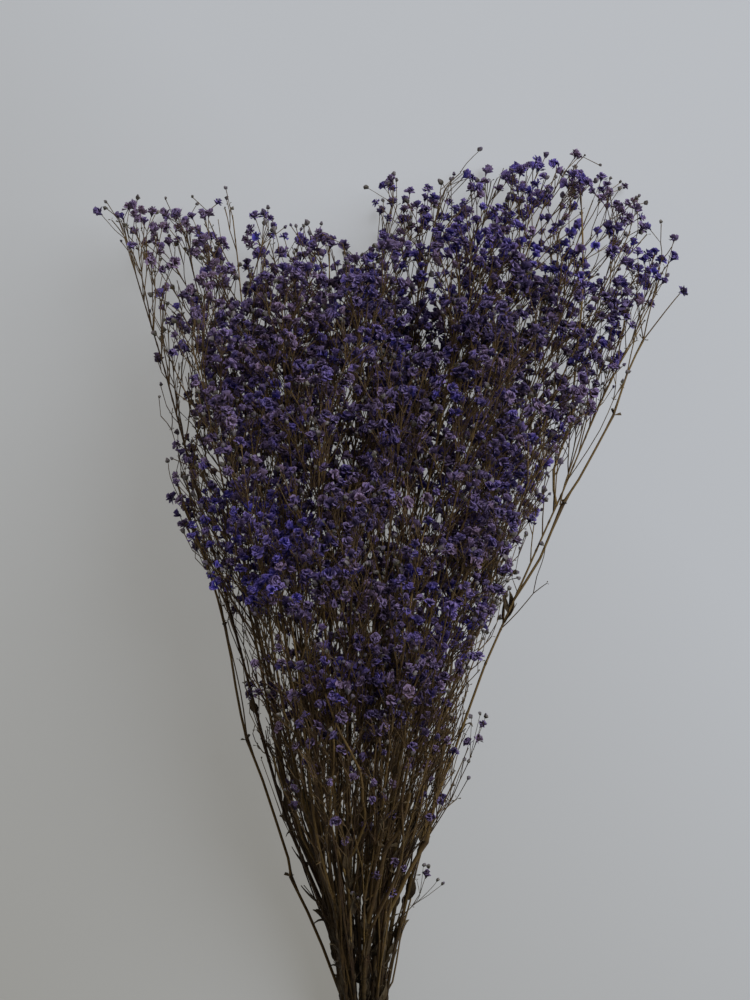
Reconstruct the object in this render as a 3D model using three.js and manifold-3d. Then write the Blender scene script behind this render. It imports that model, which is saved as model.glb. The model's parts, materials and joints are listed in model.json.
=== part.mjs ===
import * as THREE from 'three';
import { mergeVertices } from 'three/addons/utils/BufferGeometryUtils.js';
import Module from 'manifold-3d';

// A bunch of preserved gypsophila, dyed blue-violet, lying on its side on a table.
// Millimetres. +Y runs from the cut ends to the flowers and +Z is up. While the
// bunch is grown, y is the height above the middle of the elastic band; at the end
// everything is shifted so that the origin is under the middle of the whole bunch.

// Driving dimensions of the bunch
const headHeight = 540; // from the band to the highest flowers
const headDepth = 165; // thickness of the lying head, table to top
const leftSpread = 150; // how far the left edge fans out at headHeight
const rightSpread = 215; // and the right edge
const leftBow = 0.95; // under 1 the edge leaves the band steeply, over 1 it curls outwards
const rightBow = 1.5;
const swellHeight = 400; // height at which the head has its full thickness
const swellCurve = 1.5; // over 1 the head thickens fast above the band, then slowly
const sideFlatness = 0.7; // how much thinner the head is at its left and right edges
const sideDrop = 0.35; // share of that thinning which is under the edges
const lowestLine = 7; // height of the lowest stems under the head
const highestLine = 9; // and how far the highest stay below its top
const bendLength = 30; // stretch in which a stem turns from the band into the fan
const holdLength = 55; // stretch in which it leaves its place in the band
const coreRadius = 9; // half the bundle in the band, before its stems settle

// Driving dimensions of a stem
const stemRadius = 1.4; // at the band
const tipRadius = 0.45;
const branchRadius = 0.62;
const twigRadius = 0.42;
const thinning = 1.3; // over 1 a stem keeps its thickness low down and thins near its tip
const tailLength = 118; // bare stem from the band to the cut end
const tailUneven = 26; // the cut ends aren't level
const tailSpread = 0.3; // how much they flare sideways
const tailLift = 0.06; // and upwards
const tailStray = 3;
const nodeSpacing = 48; // between two pairs of flowering branches
const branchSpread = 21; // how far a branch stands off its stem
const branchRise = 36; // how far it climbs
const cymeRadius = 7.8; // a cluster of little flowers at a branch's end
const swayLength = 95; // a stem's slow bends: length and width
const swayWidth = 2.2;
const swayStart = 160; // height at which they have their full width
const clearance = 0.4; // least air between two stems
const restingReach = 5; // cymes that come this near the table lie on it
const quarterTurn = Math.PI / 2; // from one pair of branches to the next
const fullTurn = 2 * Math.PI;
const asideTurns = [0, 0.5, -0.5, 1, -1]; // a branch gives way round its stem

// A dry leaf
const leafLengths = [16, 30];
const leafWidth = 0.13; // as a share of its length, as the next two are
const leafShoulder = 0.35;
const leafTaper = 0.7;
const leafThickness = 0.6;
const leafFoot = 1; // width where it joins the stem
const leafLean = 0.75; // how far it leans away from the stem

// Elastic band round the stems
const bandWidth = 9;
const bandThickness = 1.3;
const bandGap = 0.6;
const bandCorners = 28;
const settleRounds = 400; // the stems are drawn together for the first pullRounds of these
const pullRounds = 300;
const pullFactor = 0.985;
const pushSweeps = 4;

// Sections
const stemSides = 6;
const branchSides = 3;

// Colours of the dried and dyed plant
const stemColor = 0x7a6236;
const bandColor = 0xb59563;

// Each stem: its place across the fan (-1 left edge, 1 right edge), its layer (0 on the
// table, 1 on top), its reach above the band, the length that flowers below the tip,
// and the height of a dry leaf where it still has one.
const stems = [
  { across: -0.78, layer: 0.08, reach: 520, flowering: 225 },
  { across: -0.42, layer: 0.08, reach: 510, flowering: 215 },
  { across: -0.08, layer: 0.08, reach: 542, flowering: 230 },
  { across: 0.26, layer: 0.08, reach: 558, flowering: 235 },
  { across: 0.6, layer: 0.08, reach: 550, flowering: 225 },
  { across: -0.96, layer: 0.36, reach: 526, flowering: 250, leaf: 144 },
  { across: -0.6, layer: 0.33, reach: 537, flowering: 225 },
  { across: -0.25, layer: 0.33, reach: 514, flowering: 220 },
  { across: 0.1, layer: 0.33, reach: 545, flowering: 225 },
  { across: 0.43, layer: 0.33, reach: 562, flowering: 230 },
  { across: 0.78, layer: 0.36, reach: 527, flowering: 215 },
  { across: -0.8, layer: 0.6, reach: 468, flowering: 215 },
  { across: -0.45, layer: 0.56, reach: 480, flowering: 215 },
  { across: -0.1, layer: 0.56, reach: 488, flowering: 215 },
  { across: 0.26, layer: 0.56, reach: 508, flowering: 220 },
  { across: 0.62, layer: 0.58, reach: 500, flowering: 205 },
  { across: 0.98, layer: 0.55, reach: 486, flowering: 150, leaf: 297 },
  { across: -0.63, layer: 0.82, reach: 398, flowering: 205, leaf: 96 },
  { across: -0.27, layer: 0.79, reach: 424, flowering: 210 },
  { across: 0.08, layer: 0.79, reach: 430, flowering: 215 },
  { across: 0.43, layer: 0.79, reach: 440, flowering: 200 },
  { across: 0.76, layer: 0.8, reach: 398, flowering: 170, leaf: 118 },
  { across: -0.42, layer: 1, reach: 328, flowering: 190, leaf: 70 },
  { across: -0.06, layer: 1, reach: 345, flowering: 195, leaf: 132 },
  { across: 0.29, layer: 1, reach: 352, flowering: 195 },
  { across: 0.58, layer: 0.97, reach: 322, flowering: 170, leaf: 84 },
];

// Chance: a number from 0 to 1 that depends only on the stem and the place it is used for
function chance(...keys) {
  let mixed = 2166136261;
  for (const key of keys) {
    mixed = Math.imul(mixed ^ (key + 1), 16777619);
    mixed = Math.imul(mixed ^ (mixed >>> 13), 1540483477);
    mixed ^= mixed >>> 15;
  }
  return (mixed >>> 0) / 4294967296;
}

function between(low, high, part) {
  return low + (high - low) * part;
}

// The fan: where a stem of a given place and layer runs at a height above the band
function eased(height) {
  return Math.sqrt(height * height + bendLength * bendLength) - bendLength;
}

function fanPoint(stem, height) {
  const rise = eased(Math.max(height, 0));
  const left = -coreRadius - leftSpread * (rise / headHeight) ** leftBow;
  const right = coreRadius + rightSpread * (rise / headHeight) ** rightBow;
  const middle = (left + right) / 2;
  const halfWidth = (right - left) / 2;
  const swell = 1 - (1 - Math.min(rise / swellHeight, 1)) ** swellCurve;
  const depth = 2 * coreRadius + (headDepth - 2 * coreRadius) * swell;
  const roundness = Math.sqrt(1 - sideFlatness * stem.across * stem.across);
  const bottom = sideDrop * depth * (1 - roundness) + lowestLine * swell;
  const top = (depth * (1 + roundness)) / 2 - highestLine * swell;
  return new THREE.Vector3(
    middle + halfWidth * stem.across,
    height,
    between(bottom, top, stem.layer)
  );
}

// In the band the stems lie side by side: pull them together and push neighbours apart
function settleInBand() {
  const places = stems.map((stem) => {
    const start = fanPoint(stem, 0);
    return new THREE.Vector2(start.x, start.z - coreRadius);
  });
  for (let round = 0; round < settleRounds; round += 1) {
    const pull = round < pullRounds ? pullFactor : 1;
    places.forEach((place) => place.multiplyScalar(pull));
    for (let sweep = 0; sweep < pushSweeps; sweep += 1) {
      pushApart(places);
    }
  }
  return places;
}

function pushApart(places) {
  for (let i = 0; i < places.length; i += 1) {
    for (let j = i + 1; j < places.length; j += 1) {
      const apart = places[j].clone().sub(places[i]);
      const wanted = baseRadius(i) + baseRadius(j) + clearance;
      const missing = wanted - apart.length();
      if (missing > 0) {
        apart.setLength(missing / 2);
        places[i].sub(apart);
        places[j].add(apart);
      }
    }
  }
}

// No two stems are equally thick
function baseRadius(index) {
  return stemRadius * between(0.86, 1.18, chance(index, 7));
}

const bandPlaces = settleInBand();
const lowestPlace = Math.min(...bandPlaces.map((place, index) => place.y - baseRadius(index)));
const bandCenterZ = bandThickness + bandGap - lowestPlace;

// A stem's centre line at a height above the band, or below it in the tail
function stemPoint(index, height) {
  const place = bandPlaces[index];
  if (height < 0) {
    const flare = eased(height) / tailLength;
    return new THREE.Vector3(
      place.x * (1 + tailSpread * flare) + tailStray * flare * (chance(index, 11) - 0.5),
      height,
      bandCenterZ + place.y * (1 + tailLift * flare)
    );
  }
  const point = fanPoint(stems[index], height);
  const start = fanPoint(stems[index], 0);
  const rise = eased(height);
  const hold = Math.exp(-rise / holdLength);
  const sway = swayWidth * Math.min(rise / swayStart, 1);
  point.x += (place.x - start.x) * hold;
  point.z += (bandCenterZ + place.y - start.z) * hold;
  point.x += sway * Math.sin(height / swayLength + fullTurn * chance(index, 1));
  point.z += (sway / 2) * Math.sin(height / swayLength + fullTurn * chance(index, 2));
  return point;
}

// A stem's thickness thins from the cut end to the tip
function stemRadiusAt(index, height) {
  const up = Math.max(height, 0) / stems[index].reach;
  return between(baseRadius(index), tipRadius, up ** thinning);
}

// Each stem's centre line is straight between these heights, its cut end and its tip
const bendHeights = [-8, 8, 38, 78, 130, 190, 255, 325, 395, 465];
const lastBend = 25; // no bend comes nearer to the tip than this
const traces = stems.map((stem, index) => {
  const cutEnd = -tailLength - tailUneven * (chance(index, 9) - 0.5);
  const bends = bendHeights.filter((height) => height < stem.reach - lastBend);
  return [cutEnd, ...bends, stem.reach].map((height) => stemPoint(index, height));
});

function pointOnTrace(index, height) {
  const trace = traces[index];
  const above = Math.max(trace.findIndex((point) => point.y >= height), 1);
  const [from, to] = [trace[above - 1], trace[above]];
  return from.clone().lerp(to, (height - from.y) / (to.y - from.y));
}

// Each stem keeps to the space that is nearer to it than to any other stem
function nearestOnTrace(trace, point) {
  const nearest = new THREE.Vector3();
  const onPiece = new THREE.Vector3();
  const piece = new THREE.Line3();
  let best = Infinity;
  for (let k = 1; k < trace.length; k += 1) {
    piece.set(trace[k - 1], trace[k]);
    piece.closestPointToPoint(point, true, onPiece);
    const distance = onPiece.distanceTo(point);
    if (distance < best) {
      best = distance;
      nearest.copy(onPiece);
    }
  }
  return nearest;
}

function roomAt(index, point) {
  const own = nearestOnTrace(traces[index], point);
  let room = Infinity;
  traces.forEach((trace, other) => {
    if (other !== index) {
      const theirs = nearestOnTrace(trace, point);
      const apart = own.distanceTo(theirs);
      const edge = (point.distanceToSquared(theirs) - point.distanceToSquared(own)) / (2 * apart);
      room = Math.min(room, edge);
    }
  });
  return room;
}

// Solids from three.js geometries
const wasm = await Module();
wasm.setup();

function solidOf(geometry) {
  const bare = geometry.index ? geometry.toNonIndexed() : geometry.clone();
  bare.deleteAttribute('normal');
  bare.deleteAttribute('uv');
  const merged = mergeVertices(bare);
  return new wasm.Manifold(
    new wasm.Mesh({
      numProp: 3,
      vertProperties: merged.attributes.position.array,
      triVerts: new Uint32Array(merged.index.array),
    })
  );
}

// A mesh's geometry from a solid, without the slivers that a join can leave
const weldSize = 0.002;

function geometryOf(solid) {
  const mesh = solid.getMesh();
  const raw = new THREE.BufferGeometry();
  raw.setAttribute('position', new THREE.BufferAttribute(mesh.vertProperties, 3));
  raw.setIndex(new THREE.BufferAttribute(mesh.triVerts, 1));
  const welded = mergeVertices(raw.toNonIndexed(), weldSize);
  const corners = welded.index.array;
  const kept = [];
  for (let k = 0; k < corners.length; k += 3) {
    const [a, b, c] = [corners[k], corners[k + 1], corners[k + 2]];
    if (a !== b && b !== c && c !== a) {
      kept.push(a, b, c);
    }
  }
  welded.setIndex(kept);
  const faceted = welded.toNonIndexed();
  faceted.computeVertexNormals();
  return faceted;
}

// A path whose stations are its own parameter, so that they fall where they are put
class StationPath extends THREE.Curve {
  constructor(stations) {
    super();
    this.stations = stations;
  }

  getPoint(t) {
    const last = this.stations.length - 1;
    const place = Math.min(Math.max(t, 0), 1) * last;
    const from = Math.min(Math.floor(place), last - 1);
    return this.stations[from].clone().lerp(this.stations[from + 1], place - from);
  }

  getUtoTmapping(u) {
    return u;
  }
}

// A tube through the stations, with a radius of its own at each of them
function taperedTube(stations, radii, sides) {
  const section = new THREE.Shape();
  for (let k = 0; k < sides; k += 1) {
    const turn = (fullTurn * k) / sides;
    section[k ? 'lineTo' : 'moveTo'](Math.cos(turn), Math.sin(turn));
  }
  section.closePath();
  const geometry = new THREE.ExtrudeGeometry(section, {
    steps: stations.length - 1,
    extrudePath: new StationPath(stations),
    bevelEnabled: false,
  });
  const vertex = new THREE.Vector3();
  const positions = geometry.attributes.position;
  for (let k = 0; k < positions.count; k += 1) {
    vertex.fromBufferAttribute(positions, k);
    const distances = stations.map((station) => station.distanceTo(vertex));
    const nearest = distances.indexOf(Math.min(...distances));
    vertex.sub(stations[nearest]).multiplyScalar(radii[nearest]).add(stations[nearest]);
    positions.setXYZ(k, vertex.x, vertex.y, vertex.z);
  }
  return solidOf(geometry);
}

// A cluster of little flowers as one closed solid with a corner on its lowest side
function cyme(center, radius, turn) {
  const geometry = new THREE.OctahedronGeometry(radius, 0);
  geometry.rotateZ(turn);
  geometry.translate(center.x, center.y, center.z);
  return solidOf(geometry);
}

// A dry lance-shaped leaf that leaves its node outwards and forwards
function dryLeaf(base, outwards, length) {
  const width = length * leafWidth;
  const outline = new THREE.Shape();
  outline.moveTo(-leafFoot / 2, 0);
  outline.lineTo(leafFoot / 2, 0);
  outline.lineTo(width / 2, length * leafShoulder);
  outline.lineTo(width / 3, length * leafTaper);
  outline.lineTo(0, length);
  outline.lineTo(-width / 3, length * leafTaper);
  outline.lineTo(-width / 2, length * leafShoulder);
  outline.closePath();
  const geometry = new THREE.ExtrudeGeometry(outline, {
    depth: leafThickness,
    bevelEnabled: false,
  });
  const along = new THREE.Vector3(0, 1, 0).addScaledVector(outwards, leafLean).normalize();
  const flat = new THREE.Vector3().crossVectors(along, outwards).normalize();
  const thin = new THREE.Vector3().crossVectors(flat, along);
  geometry.applyMatrix4(new THREE.Matrix4().makeBasis(flat, along, thin));
  geometry.translate(base.x, base.y, base.z);
  return solidOf(geometry);
}

// The directions across a stem at a height: its own run, and two that lie square to it
function crossFrame(index, height) {
  const run = pointOnTrace(index, height + 2).sub(pointOnTrace(index, height - 2)).normalize();
  const side = new THREE.Vector3(0, 0, 1).cross(run).normalize();
  const over = run.clone().cross(side);
  return { run, side, over };
}

// A flowering branch: it leaves the stem sideways, bends forwards and ends in a cyme
function branchShape(index, height, turn, size) {
  const base = pointOnTrace(index, height);
  const { run, side, over } = crossFrame(index, height);
  const outwards = side.multiplyScalar(Math.cos(turn)).addScaledVector(over, Math.sin(turn));
  const radius = cymeRadius * between(0.55, 1, size) * between(0.9, 1.1, chance(index, height, 5));
  const bend = base.clone();
  bend.addScaledVector(outwards, branchSpread * size * 0.62);
  bend.addScaledVector(run, branchRise * size * 0.42);
  const end = base.clone();
  end.addScaledVector(outwards, branchSpread * size);
  end.addScaledVector(run, branchRise * (0.45 + 0.55 * size));
  if (end.z < radius + restingReach) {
    end.z = radius;
  }
  return { base, bend, end, radius };
}

// It turns round its stem and then grows smaller until it keeps clear of the others
function fittedBranch(index, height, turn, scale) {
  for (let size = scale; size > 0.4; size *= 0.85) {
    for (const aside of asideTurns) {
      const shape = branchShape(index, height, turn + aside, size);
      const cymeFits = roomAt(index, shape.end) > shape.radius + clearance / 2;
      const bendFits = roomAt(index, shape.bend) > branchRadius + clearance;
      if (cymeFits && bendFits) {
        return shape;
      }
    }
  }
  return null;
}

function flowerBranches(index) {
  const { reach, flowering } = stems[index];
  const solids = [];
  const pairs = Math.round(flowering / nodeSpacing);
  for (let pair = 0; pair < pairs; pair += 1) {
    const up = pair / pairs;
    const height = Math.round(reach - flowering * (1 - up));
    const turn = quarterTurn * pair + chance(index, pair, 3);
    const scale = between(1.1, 0.7, up * up) * between(0.85, 1.1, chance(index, pair, 4));
    for (let half = 0; half < 2; half += 1) {
      const shape = fittedBranch(index, height + half, turn + 2 * quarterTurn * half, scale);
      if (shape) {
        const radii = [branchRadius, (branchRadius + twigRadius) / 2, twigRadius];
        solids.push(taperedTube([shape.base, shape.bend, shape.end], radii, branchSides));
        solids.push(cyme(shape.end, shape.radius, chance(index, pair, half, 6)));
      }
    }
  }
  return solids;
}

function tipCyme(index) {
  const { reach } = stems[index];
  const end = stemPoint(index, reach);
  const radius = Math.min(cymeRadius * 0.9, roomAt(index, end) - clearance);
  return cyme(end, radius, chance(index, 8));
}

function outwardsFrom(index, height) {
  const middle = stems.reduce(
    (sum, stem, other) => sum.addScaledVector(stemPoint(other, height), 1 / stems.length),
    new THREE.Vector3()
  );
  const outwards = stemPoint(index, height).sub(middle);
  outwards.y = 0;
  return outwards.normalize();
}

function mainStem(index) {
  const radii = traces[index].map((point) => stemRadiusAt(index, point.y));
  return taperedTube(traces[index], radii, stemSides);
}

function growStem(index) {
  const { leaf } = stems[index];
  let plant = mainStem(index).add(tipCyme(index));
  for (const solid of flowerBranches(index)) {
    plant = plant.add(solid);
  }
  if (leaf) {
    const length = between(...leafLengths, chance(index, 10));
    plant = plant.add(dryLeaf(pointOnTrace(index, leaf), outwardsFrom(index, leaf), length));
  }
  return plant;
}

// The band follows the outermost stems, as a stretched one does
function bandOutline(offset) {
  const corners = [];
  for (let k = 0; k < bandCorners; k += 1) {
    const turn = (fullTurn * k) / bandCorners;
    const towards = new THREE.Vector2(Math.cos(turn), Math.sin(turn));
    const reaches = bandPlaces.map((place, index) => place.dot(towards) + baseRadius(index));
    const outermost = reaches.indexOf(Math.max(...reaches));
    const corner = bandPlaces[outermost].clone();
    corner.addScaledVector(towards, baseRadius(outermost) + offset);
    corners.push(corner);
  }
  return corners;
}

function elasticBand() {
  const outline = new THREE.Shape(bandOutline(bandGap + bandThickness));
  outline.holes.push(new THREE.Path(bandOutline(bandGap)));
  const geometry = new THREE.ExtrudeGeometry(outline, { depth: bandWidth, bevelEnabled: false });
  geometry.rotateX(Math.PI / 2);
  geometry.translate(0, bandWidth / 2, bandCenterZ);
  return solidOf(geometry);
}

function namedMesh(name, solid, color, roughness) {
  const material = new THREE.MeshStandardMaterial({ color, roughness, metalness: 0 });
  const mesh = new THREE.Mesh(geometryOf(solid), material);
  mesh.name = name;
  return mesh;
}

const bunch = new THREE.Group();
stems.forEach((stem, index) => {
  const name = `stem_${String(index + 1).padStart(2, '0')}`;
  bunch.add(namedMesh(name, growStem(index), stemColor, 0.85));
});
bunch.add(namedMesh('elastic_band', elasticBand(), bandColor, 0.6));

// The origin goes under the middle of the whole bunch
const bounds = new THREE.Box3().setFromObject(bunch);
const boundsMiddle = bounds.getCenter(new THREE.Vector3());
bunch.position.set(-boundsMiddle.x, -boundsMiddle.y, -bounds.min.z);

export default bunch;
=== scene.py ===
import json
import math
import random
import bpy
import mathutils
import numpy as np
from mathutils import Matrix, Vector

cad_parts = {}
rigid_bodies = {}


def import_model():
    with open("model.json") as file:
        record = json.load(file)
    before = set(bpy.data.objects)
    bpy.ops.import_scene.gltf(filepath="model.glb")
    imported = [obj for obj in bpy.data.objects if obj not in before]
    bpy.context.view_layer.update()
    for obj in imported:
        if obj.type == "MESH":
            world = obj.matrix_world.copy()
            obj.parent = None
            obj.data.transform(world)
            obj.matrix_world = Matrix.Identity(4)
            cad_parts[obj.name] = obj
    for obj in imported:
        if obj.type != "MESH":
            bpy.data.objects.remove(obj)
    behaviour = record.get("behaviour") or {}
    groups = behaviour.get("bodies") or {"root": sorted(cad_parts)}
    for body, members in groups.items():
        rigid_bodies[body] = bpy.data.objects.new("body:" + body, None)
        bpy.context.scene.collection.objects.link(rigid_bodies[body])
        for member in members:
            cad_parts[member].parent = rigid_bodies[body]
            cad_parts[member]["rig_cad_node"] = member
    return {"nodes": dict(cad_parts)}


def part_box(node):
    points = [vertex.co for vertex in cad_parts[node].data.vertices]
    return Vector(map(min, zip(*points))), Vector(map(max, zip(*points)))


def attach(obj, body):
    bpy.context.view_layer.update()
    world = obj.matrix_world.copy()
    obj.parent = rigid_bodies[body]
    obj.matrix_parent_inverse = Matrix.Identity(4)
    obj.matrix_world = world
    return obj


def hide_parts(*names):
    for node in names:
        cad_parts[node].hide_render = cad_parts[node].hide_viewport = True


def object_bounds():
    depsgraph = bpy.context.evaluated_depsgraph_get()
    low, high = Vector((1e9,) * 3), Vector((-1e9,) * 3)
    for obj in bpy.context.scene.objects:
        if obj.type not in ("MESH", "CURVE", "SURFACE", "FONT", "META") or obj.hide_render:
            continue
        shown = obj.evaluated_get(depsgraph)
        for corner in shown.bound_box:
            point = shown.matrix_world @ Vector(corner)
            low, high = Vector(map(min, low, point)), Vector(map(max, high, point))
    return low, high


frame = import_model()
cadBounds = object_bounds()
print("frame loaded:", len(frame["nodes"]), "nodes")

# The bunch as it was grown for the frame. Millimetres, and y is the height above the
# middle of the elastic band until a piece is finished.
bunch = {
    "headHeight": 540,
    "headDepth": 165,
    "leftSpread": 150,
    "rightSpread": 215,
    "leftBow": 0.95,
    "rightBow": 1.5,
    "swellHeight": 400,
    "swellCurve": 1.5,
    "sideFlatness": 0.7,
    "sideDrop": 0.35,
    "lowestLine": 7,
    "highestLine": 9,
    "bendLength": 30,
    "holdLength": 55,
    "coreRadius": 9,
    "clearance": 0.4,  # between two stems in the band
    "rounds": 400,  # of pushing them apart
    "pressedRounds": 300,  # how many of these press them together too
    "press": 0.985,
    "pushes": 4,
    "leftPull": 10,  # how much further in the stems at the left lie than the frame's, at most
    "pullHeight": 105,
    "pullReach": 52,
    "pullFrom": 0.3,  # how far left of the middle that starts
}
stemForm = {
    "radius": 1.4,
    "radiusSpread": (0.86, 1.18),
    "tipRadius": 0.32,
    "thinning": 0.85,  # lower than the frame's, whose stems are stouter in the head
    "tailLength": 118,
    "tailUneven": 26,
    "tailSpread": 0.3,
    "tailLift": 0.06,
    "tailStray": 3,
    "swayLength": 95,
    "swayWidth": 2.2,
    "swayStart": 160,
    "topRun": 25,  # the frame's stems have no bend nearer their tip than this
    "step": 13,  # between two rings along a stem
    "knotSwell": 1.28,  # how much thicker a stem is at its knots
    "knotHalf": 1.6,  # and over what length
    "knotRoom": 2.2,  # no other ring is nearer than this many times that
    "bareKnots": (50, 76),  # between two knots where nothing branches
    "kinkLength": 52,
    "kinkStart": 20,
    "kink": 1.3,  # how far a kink may lie beside the frame's stem
    "darkest": 0.12,  # painted shade: the share of its own colour a stem keeps just above the band, where stems hide each other
    "fullTone": 190,  # above this height it has no painted shade, and all of its colour
    "tailTone": (30, 0.8),  # below this height the painted shade lessens again, at this rate
    "youth": 0.75,
    "flank": -0.75,  # stems further left than this get as little painted shade low down
    "flankLevel": 160,  # as others at this height
}
# across (-1 left, 1 right), layer (0 lowest, 1 highest), reach, flowering length, leaf height
stems = [
    (-0.78, 0.08, 520, 225, None),
    (-0.42, 0.08, 510, 215, None),
    (-0.08, 0.08, 542, 230, None),
    (0.26, 0.08, 558, 235, None),
    (0.6, 0.08, 550, 225, None),
    (-0.96, 0.36, 526, 250, 144),
    (-0.6, 0.33, 537, 225, None),
    (-0.25, 0.33, 514, 220, None),
    (0.1, 0.33, 545, 225, None),
    (0.43, 0.33, 562, 230, None),
    (0.78, 0.36, 527, 215, None),
    (-0.8, 0.6, 468, 215, None),
    (-0.45, 0.56, 480, 215, None),
    (-0.1, 0.56, 488, 215, None),
    (0.26, 0.56, 508, 220, None),
    (0.62, 0.58, 500, 205, None),
    (0.98, 0.55, 486, 150, 297),
    (-0.63, 0.82, 398, 205, 96),
    (-0.27, 0.79, 424, 210, None),
    (0.08, 0.79, 430, 215, None),
    (0.43, 0.79, 440, 200, None),
    (0.76, 0.8, 398, 170, 118),
    (-0.42, 1, 328, 190, 70),
    (-0.06, 1, 345, 195, 132),
    (0.29, 1, 352, 195, None),
    (0.58, 0.97, 322, 170, 84),
]
fullTurn = 2 * math.pi
mm = 0.001


# The frame's own dice: the same keys always give the same part of 1
def chance(*keys):
    mixed = 2166136261
    for key in keys:
        mixed = ((mixed ^ (key + 1)) * 16777619) & 0xFFFFFFFF
        mixed = ((mixed ^ (mixed >> 13)) * 1540483477) & 0xFFFFFFFF
        mixed ^= mixed >> 15
    return mixed / 4294967296


def between(low, high, part):
    return low + (high - low) * part


def unit(vector):
    return vector / max(np.linalg.norm(vector), 1e-9)


def eased(height):
    return math.sqrt(height * height + bunch["bendLength"] ** 2) - bunch["bendLength"]


def fanPoint(across, layer, height):
    rise = eased(max(height, 0))
    up = rise / bunch["headHeight"]
    left = -bunch["coreRadius"] - bunch["leftSpread"] * up ** bunch["leftBow"]
    right = bunch["coreRadius"] + bunch["rightSpread"] * up ** bunch["rightBow"]
    swell = 1 - (1 - min(rise / bunch["swellHeight"], 1)) ** bunch["swellCurve"]
    thin = 2 * bunch["coreRadius"]
    depth = between(thin, bunch["headDepth"], swell)
    roundness = math.sqrt(1 - bunch["sideFlatness"] * across * across)
    bottom = bunch["sideDrop"] * depth * (1 - roundness) + bunch["lowestLine"] * swell
    top = depth * (1 + roundness) / 2 - bunch["highestLine"] * swell
    x = (left + right) / 2 + (right - left) / 2 * across
    return np.array([x, height, between(bottom, top, layer)])


def baseRadius(index):
    return stemForm["radius"] * between(*stemForm["radiusSpread"], chance(index, 7))


def settleInBand():
    places = []
    for across, layer, *_ in stems:
        start = fanPoint(across, layer, 0)
        places.append(np.array([start[0], start[2] - bunch["coreRadius"]]))
    pairs = [(i, j) for i in range(len(stems)) for j in range(i + 1, len(stems))]
    for settleRound in range(bunch["rounds"]):
        if settleRound < bunch["pressedRounds"]:
            places = [place * bunch["press"] for place in places]
        for i, j in pairs * bunch["pushes"]:
            away = places[j] - places[i]
            apart = math.sqrt(away[0] * away[0] + away[1] * away[1])
            missing = baseRadii[i] + baseRadii[j] + bunch["clearance"] - apart
            if missing > 0:
                push = away * (missing / 2 / apart)
                places[i] = places[i] - push
                places[j] = places[j] + push
    return places


bandForm = {
    "gap": 0.6,  # between the stems and the frame's band
    "thickness": 1.3,
    "strandWidth": 2.5,
    "strandThickness": 1.0,
    "strandGap": 0.5,  # from the stems to the strands
    "edge": 0.22,
    "corners": 64,
    "strandPlaces": (-2.9, -0.1, 2.7),
    "crossingStart": 5.5,  # the fourth turn lies here round the sides,
    "crossingWay": -6.5,  # this much further on over the top
    "crossingLift": 1.1,  # and there above the others
    "crossingHalf": 1.15,  # half the angle in which it crosses
}
baseRadii = [baseRadius(index) for index in range(len(stems))]
bandPlaces = settleInBand()
lowestPlace = min(place[1] - baseRadii[i] for i, place in enumerate(bandPlaces))
bandCenterZ = bandForm["thickness"] + bandForm["gap"] - lowestPlace


# A stem is straight between two kinks
def kinkAt(index, height):
    place = (height - stemForm["kinkStart"]) / stemForm["kinkLength"] + chance(index, 21) - 0.5
    first = math.floor(place)
    ends = [(chance(index, kink, 22) * 2 - 1) * stemForm["kink"] if kink >= 0 else 0
            for kink in (first, first + 1)]
    return between(ends[0], ends[1], place - first)


def stemPoint(index, height):
    across, layer = stems[index][:2]
    place = bandPlaces[index]
    if height < 0:
        flare = eased(height) / stemForm["tailLength"]
        stray = stemForm["tailStray"] * flare * (chance(index, 11) - 0.5)
        x = place[0] * (1 + stemForm["tailSpread"] * flare) + stray
        return np.array([x, height, bandCenterZ + place[1] * (1 + stemForm["tailLift"] * flare)])
    point = fanPoint(across, layer, height)
    start = fanPoint(across, layer, 0)
    rise = eased(height)
    hold = math.exp(-rise / bunch["holdLength"])
    sway = stemForm["swayWidth"] * min(rise / stemForm["swayStart"], 1)
    wave = height / stemForm["swayLength"]
    point[0] += (place[0] - start[0]) * hold + sway * math.sin(wave + fullTurn * chance(index, 1))
    point[2] += (bandCenterZ + place[1] - start[2]) * hold
    point[2] += sway / 2 * math.sin(wave + fullTurn * chance(index, 2))
    point[0] += kinkAt(index, height)
    if across < -bunch["pullFrom"]:
        pull = bunch["leftPull"] * min((-across - bunch["pullFrom"]) * 2, 1) ** 2
        point[0] += pull * math.exp(-((height - bunch["pullHeight"]) / bunch["pullReach"]) ** 2)
    return point


def stemRadiusAt(index, height):
    up = max(height, 0) / stems[index][2]
    return between(baseRadii[index], stemForm["tipRadius"], up ** stemForm["thinning"])


# The frame's own stems are straight between these heights
bendHeights = (-8, 8, 38, 78, 130, 190, 255, 325, 395, 465)


def traceOf(index):
    cutEnd = -stemForm["tailLength"] - stemForm["tailUneven"] * (chance(index, 9) - 0.5)
    reach = stems[index][2]
    heights = [cutEnd] + [h for h in bendHeights if h < reach - stemForm["topRun"]] + [reach]
    return np.array([stemPoint(index, h) for h in heights])


traces = [traceOf(index) for index in range(len(stems))]
longest = max(len(trace) for trace in traces)
traceStarts = np.zeros((len(stems), longest - 1, 3))
traceRuns = np.zeros((len(stems), longest - 1, 3))
for index, trace in enumerate(traces):
    traceStarts[index] = trace[-1]
    traceStarts[index, : len(trace) - 1] = trace[:-1]
    traceRuns[index, : len(trace) - 1] = trace[1:] - trace[:-1]
traceSquares = np.maximum((traceRuns ** 2).sum(2), 1e-9)


def nearestOnTraces(point):
    part = ((point - traceStarts) * traceRuns).sum(2) / traceSquares
    places = traceStarts + traceRuns * np.clip(part, 0, 1)[:, :, None]
    distances = ((places - point) ** 2).sum(2)
    best = distances.argmin(1)
    rows = np.arange(len(stems))
    return places[rows, best], distances[rows, best]


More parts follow.
